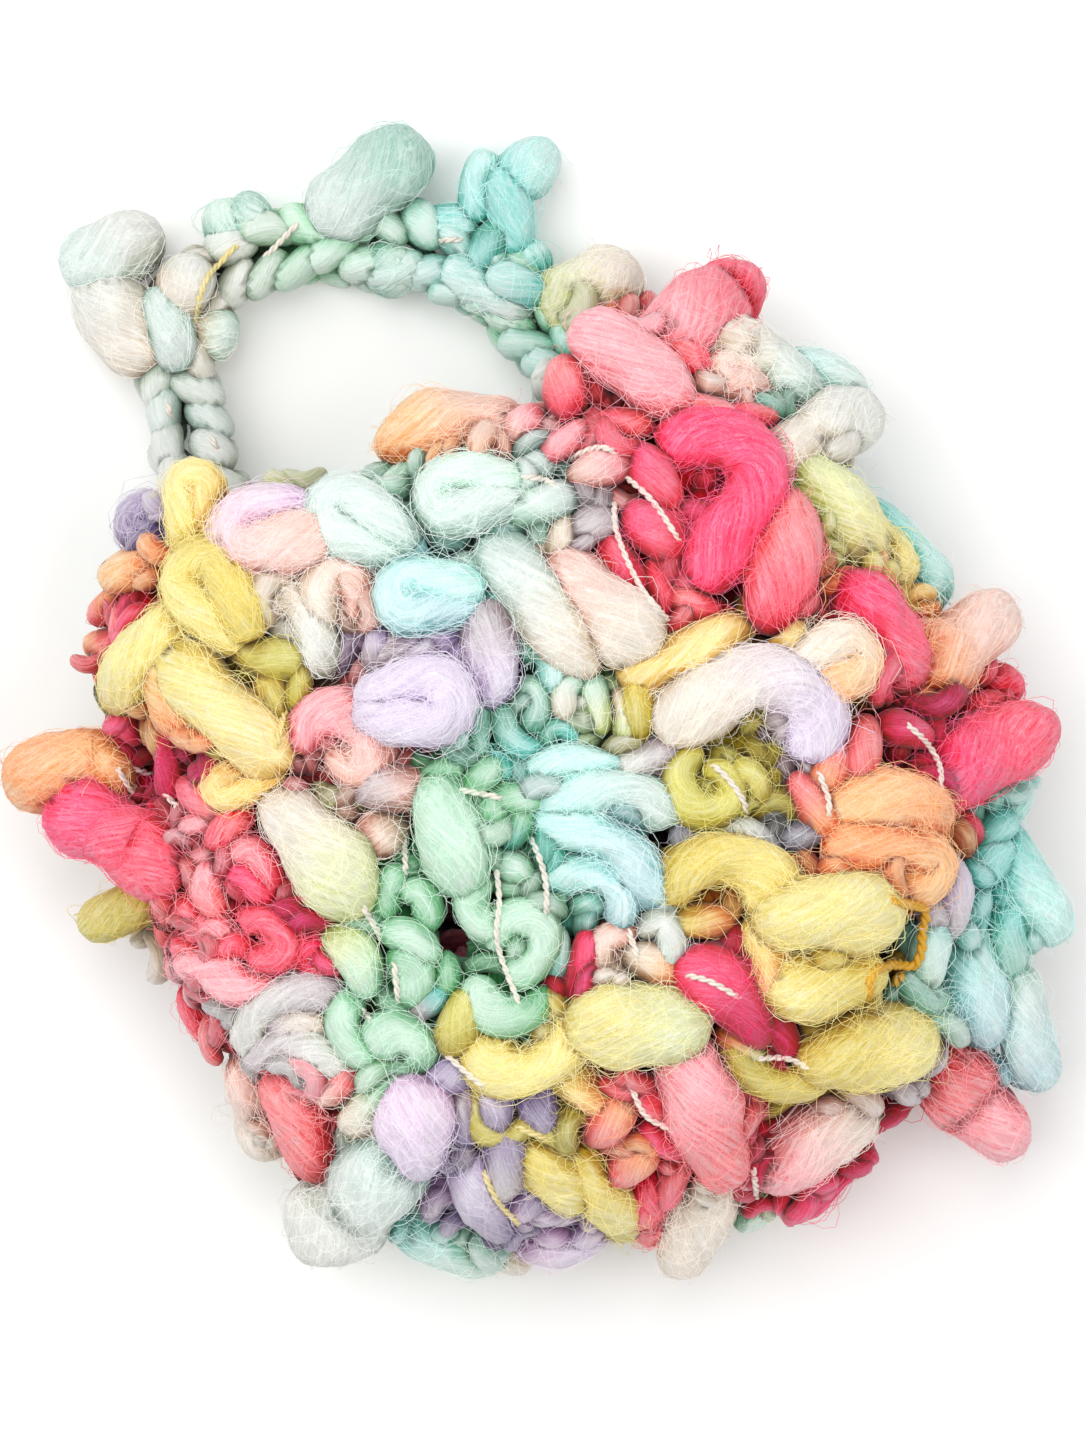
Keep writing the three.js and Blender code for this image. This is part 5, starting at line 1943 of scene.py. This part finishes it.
@dataclass
class SmallCurls:
    """The short ends and loops of thin yarn that fill the gaps between the puffs."""

    relief: Relief
    count: int = 340
    widths: tuple[float, float] = (2 * MM, 3.4 * MM)
    bends: tuple[float, float] = (1.2, 2.4)
    sweeps: tuple[float, float] = (0.5, 1.5)
    tints: tuple[float, float] = (0.85, 1.0)
    depth: float = 1.6 * MM
    rise: float = 0.35
    drop: float = 0.9
    seed: int = SEED + 30
    detail: Detail = Detail(sides=10, rings=12, seed=SEED + 31)

    def strands(self) -> Strands:
        """Lay an arc in each of the chosen gaps.

        Returns:
            A strand for each arc.
        """
        rng = np.random.default_rng(self.seed)
        spots = self.relief.scatter(rng, self.count, self.depth)
        wide = rng.uniform(*self.widths, self.count)
        bend = rng.uniform(*self.bends, self.count) * wide / 2
        sweep = rng.uniform(*self.sweeps, self.count)
        turn = rng.uniform(0, 2 * math.pi, self.count)
        share = np.linspace(-1, 1, KNOTS)
        angle = turn[:, None] + sweep[:, None] * share
        way = np.stack([np.cos(angle), np.sin(angle)], axis=-1)
        flat = spots[:, None, :] + bend[:, None, None] * (way - way[:, KNOTS // 2][:, None, :])
        height = self.relief.sample(self.relief.height, spots)
        arch = height[:, None] + wide[:, None] * (self.rise - self.drop * share**2)
        spine = np.concatenate([flat, arch[..., None]], axis=-1)
        dyes = self.relief.dye_under(spots) * rng.uniform(*self.tints, (self.count, 1))
        return Strands(spine, wide, dyes, dyes, self.detail)


@dataclass
class PaintedPileShade:
    """Paints shade into the dye where other yarn closes round a spot, darker and purer in hue, and paints a
    highlight where the fluff lies open.
    """

    ground: BVHTree
    reach: float = 7 * MM
    start: float = 0.22 * MM
    glimmer: float = 0.8
    bare: float = 0.9
    # How dark and how pure the painted shade gets where yarn closes in, and how strong the painted highlight
    # is on open tops
    darkest: float = 0.2
    shade_purity: float = 4.2
    purest: float = 0.05
    painted_highlight: float = 0.4
    painted_highlight_power: float = 1.5
    open_from: float = 0.78
    rays: int = 12
    along_x: float = 0.9

    def _directions(self) -> Array:
        """Directions over a hemisphere round +Z, closer together near the top.

        Returns:
            A direction for each ray.
        """
        number = np.arange(self.rays) + 0.5
        rise = np.sqrt(1 - number / self.rays)
        golden_turn = math.pi * (1 + 5**0.5)
        turn = golden_turn * number
        flat = np.sqrt(1 - rise**2)
        return np.stack([flat * np.cos(turn), flat * np.sin(turn), rise], axis=-1)

    def _light(self, points: Array, normals: Array) -> Array:
        """Measure how much of the light round each point reaches it.

        Args:
            points: places on the yarn.
            normals: ways out of it.

        Returns:
            A share for each point, 1 where nothing is near.
        """
        off_x = np.abs(normals[:, :1]) < self.along_x
        aside = unit(np.cross(normals, np.where(off_x, np.array([1.0, 0, 0]), np.array([0, 1.0, 0]))))
        across = np.cross(normals, aside)
        start = points + self.start * normals
        light = np.zeros(len(points))
        for x, y, z in self._directions():
            way = x * aside + y * across + z * normals
            for i in range(len(points)):
                distance = self.ground.ray_cast(Vector(start[i]), Vector(way[i]), self.reach)[3]
                light[i] += 1.0 if distance is None else self.glimmer * (distance / self.reach) ** 2
        return light / self.rays

    def dress(self, piece: bpy.types.Object) -> None:
        """Paint shade and a highlight into the dye of one piece, by how much light reaches each point.

        Args:
            piece: an object with a "dye" attribute.
        """
        mesh = piece.data
        count = len(mesh.vertices)
        points = np.empty((count, 3), np.float32)
        normals = np.empty((count, 3), np.float32)
        dye = np.empty((count, 4), np.float32)
        mesh.vertices.foreach_get("co", points.ravel())
        mesh.vertex_normals.foreach_get("vector", normals.ravel())
        mesh.attributes["dye"].data.foreach_get("color", dye.ravel())
        light = self._light(points, normals)[:, None]
        plain = dye[:, :3]
        # Painted shade: where little light reaches, the dye is darkened and made purer in hue. Painted
        # highlight: where the fluff lies open, it is paled.
        tint = np.maximum(plain / plain.max(axis=1, keepdims=True), self.purest)
        closed = 1 - np.clip(light / self.bare, 0, 1)
        deep = plain * tint ** (self.shade_purity * closed) * (1 - (1 - self.darkest) * closed)
        open_share = np.clip((light - self.open_from) / (1 - self.open_from), 0, 1)
        dye[:, :3] = deep ** (1 - self.painted_highlight * open_share**self.painted_highlight_power)
        mesh.attributes["dye"].data.foreach_set("color", dye.ravel())


@dataclass(frozen=True)
class BoardFinish:
    """Matte white card with a little light of its own, so the ground stays near white in the soft shadow."""

    name: str = "white_light_board"
    colour: str = "#F7F7F6"
    glow: str = "#FFFFFF"
    roughness: float = 0.9
    own_light: float = 0.1

    def material(self) -> bpy.types.Material:
        """Make the finish.

        Returns:
            A plain material.
        """
        material = bpy.data.materials.new(self.name)
        material.use_nodes = True
        material.cycles.emission_sampling = "NONE"
        shader = material.node_tree.nodes["Principled BSDF"]
        shader.inputs["Base Color"].default_value = (*linear(self.colour), 1)
        shader.inputs["Roughness"].default_value = self.roughness
        shader.inputs["Emission Color"].default_value = (*linear(self.glow), 1)
        shader.inputs["Emission Strength"].default_value = self.own_light
        return material


class SoftLight(NamedTuple):
    """A large square light that faces the pouch: its place and size in metres, and its power in watts."""

    name: str
    place: tuple[float, float, float]
    size: float
    power: float


LIGHTS = (
    SoftLight("key", (-0.36, 0.58, 1.15), 1.5, 16.5),
    SoftLight("fill", (0.55, -0.5, 1.1), 1.0, 6.5),
)


@dataclass
class Studio:
    """A pale floor, soft light and the camera straight above, turned as the pouch lies in the picture."""

    image_size: tuple[int, int] = (1086, 1448)
    scale: float = 0.12 * MM
    pouch_pixel: tuple[float, float] = (545, 800)
    turn: float = math.radians(20)
    lens_mm: float = 200.0
    sensor_mm: float = 36.0
    middle_height: float = 22 * MM
    farthest: float = 20.0
    floor_size: float = 6.0
    room_light: float = 0.335

    def camera(self) -> None:
        """Put the camera over the middle of the picture."""
        right = (self.image_size[0] / 2 - self.pouch_pixel[0]) * self.scale
        up = (self.pouch_pixel[1] - self.image_size[1] / 2) * self.scale
        x = right * math.cos(self.turn) + up * math.sin(self.turn)
        y = up * math.cos(self.turn) - right * math.sin(self.turn)
        distance = self.image_size[1] * self.scale * self.lens_mm / self.sensor_mm
        data = bpy.data.cameras.new("camera")
        data.sensor_fit = "VERTICAL"
        data.sensor_height = self.sensor_mm
        data.lens = self.lens_mm
        data.clip_end = self.farthest
        camera = bpy.data.objects.new("camera", data)
        camera.location = (x, y, self.middle_height + distance)
        camera.rotation_euler = (0, 0, -self.turn)
        bpy.context.scene.collection.objects.link(camera)
        bpy.context.scene.camera = camera

    def floor(self) -> None:
        """Lay the floor."""
        bpy.ops.object.select_all(action="DESELECT")
        bpy.ops.mesh.primitive_plane_add(size=self.floor_size)
        floor = bpy.context.active_object
        floor.name = "floor"
        floor.data.materials.append(BoardFinish().material())

    def lights(self) -> None:
        """Hang a large soft light on each side and fill with the room."""
        world = bpy.data.worlds.new("white_room")
        world.use_nodes = True
        room = world.node_tree.nodes["Background"]
        room.inputs["Color"].default_value = (1, 1, 1, 1)
        room.inputs["Strength"].default_value = self.room_light
        bpy.context.scene.world = world
        for name, place, size, power in LIGHTS:
            data = bpy.data.lights.new(name, "AREA")
            data.size = size
            data.energy = power
            light = bpy.data.objects.new(name, data)
            light.location = place
            light.rotation_euler = (-Vector(place)).to_track_quat("-Z", "Y").to_euler()
            bpy.context.scene.collection.objects.link(light)
        bpy.context.scene.view_settings.view_transform = "Standard"


class Coat(NamedTuple):
    """The loose fibres of one batch of yarn: their piece, the yarn, its home, their number and seed."""

    piece: str
    yarn: str
    home: Home
    count: int
    seed: int


COATS = (
    Coat("folded_fibres", "folded_puffs", Home.BAG, 2200, SEED + 20),
    Coat("straight_fibres", "straight_puffs", Home.BAG, 5000, SEED + 21),
    Coat("winding_fibres", "winding_puffs", Home.BAG, 2600, SEED + 22),
    Coat("stitch_fibres", "stitch_loops", Home.BAG, 500, SEED + 23),
    Coat("chain_fibres", "stitch_chains", Home.BAG, 600, SEED + 27),
    Coat("strap_fibres", "strap_puffs", Home.STRAP, 1000, SEED + 24),
    Coat("back_fibres", "back_puffs", Home.BAG, 400, SEED + 28),
)

WEB_SEEDS = {"hair_web_1": SEED + 25, "hair_web_2": SEED + 26}


def main() -> None:
    """Build the studio and the pouch."""
    logging.basicConfig(level=logging.INFO, format="%(name)s %(message)s")
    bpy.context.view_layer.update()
    studio = Studio()
    studio.camera()
    studio.floor()
    studio.lights()

    form = BagForm()
    front = FrontSlubs(form)
    fluffy = {
        "folded_puffs": front.folded(LOOPS, Detail(sides=18, rings=30, seed=SEED)),
        "straight_puffs": front.straight(FINGERS, Detail(sides=24, rings=18, seed=SEED + 1)),
        "winding_puffs": front.wound(WINDERS, Detail(sides=20, rings=30, seed=SEED + 10)),
        "back_puffs": BackSlubs().puffs(),
    }
    tight = {
        "stitch_chains": front.wound(CHAINS, Detail(sides=16, rings=28, seed=SEED + 11)),
        "stitch_loops": front.straight(FRONT_BEADS, Detail(sides=16, rings=11, seed=SEED + 12)),
    }
    fabric = GroundFabric(form, DyeMap(form, LOOPS + FINGERS + FRONT_BEADS, WINDERS + CHAINS))
    ground = {
        "ground_stitches": fabric.stitches(fabric.outer_inset, 1, fabric.stitch, SEED + 3),
        "inner_stitches": fabric.stitches(fabric.inner_inset, -1, fabric.inner_stitch, SEED + 4),
        "rim_chain": fabric.rim(),
    }
    strap = FingerStrap()
    strap_chain = {"strap_chain": strap.plait()}
    strap_puffs = {"strap_puffs": strap.puffs()}

    laid = {**fluffy, **tight, **ground, **strap_chain, **strap_puffs}
    tight["small_curls"] = SmallCurls(Relief(Pile([*laid.values()]))).strands()
    pile = Pile([*laid.values(), tight["small_curls"]])
    # Painted shade and painted highlight, baked into the dye of each piece by how closed in it lies
    shade = PaintedPileShade(pile.tree)
    for batch, finish, home in (
        (fluffy, ROVING, Home.BAG),
        (tight, SPUN, Home.BAG),
        (ground, GROUND, Home.BAG),
        ({"ground_fabric": fabric}, GROUND, Home.BAG),
        (strap_chain, SPUN, Home.STRAP),
        (strap_puffs, ROVING, Home.STRAP),
    ):
        for name, yarn in batch.items():
            piece = build_mesh(name, *yarn.arrays())
            shade.dress(piece)
            seat(piece, finish, home)
    seat(build_mesh("binder_thread", *BinderThread().arrays(pile.tree)), BINDER, Home.BAG)

    fibres = LooseFibres()
    web = HairWeb(Relief(pile))
    hairs = [
        *((name, fibres.arrays(laid[yarn], count, seed), home) for name, yarn, home, count, seed in COATS),
        *((name, web.arrays(seed), Home.BAG) for name, seed in WEB_SEEDS.items()),
    ]
    for name, arrays, home in hairs:
        piece = build_mesh(name, *arrays)
        piece.visible_shadow = False
        seat(piece, FLYAWAY, home)


if __name__ == "__main__":
    main()
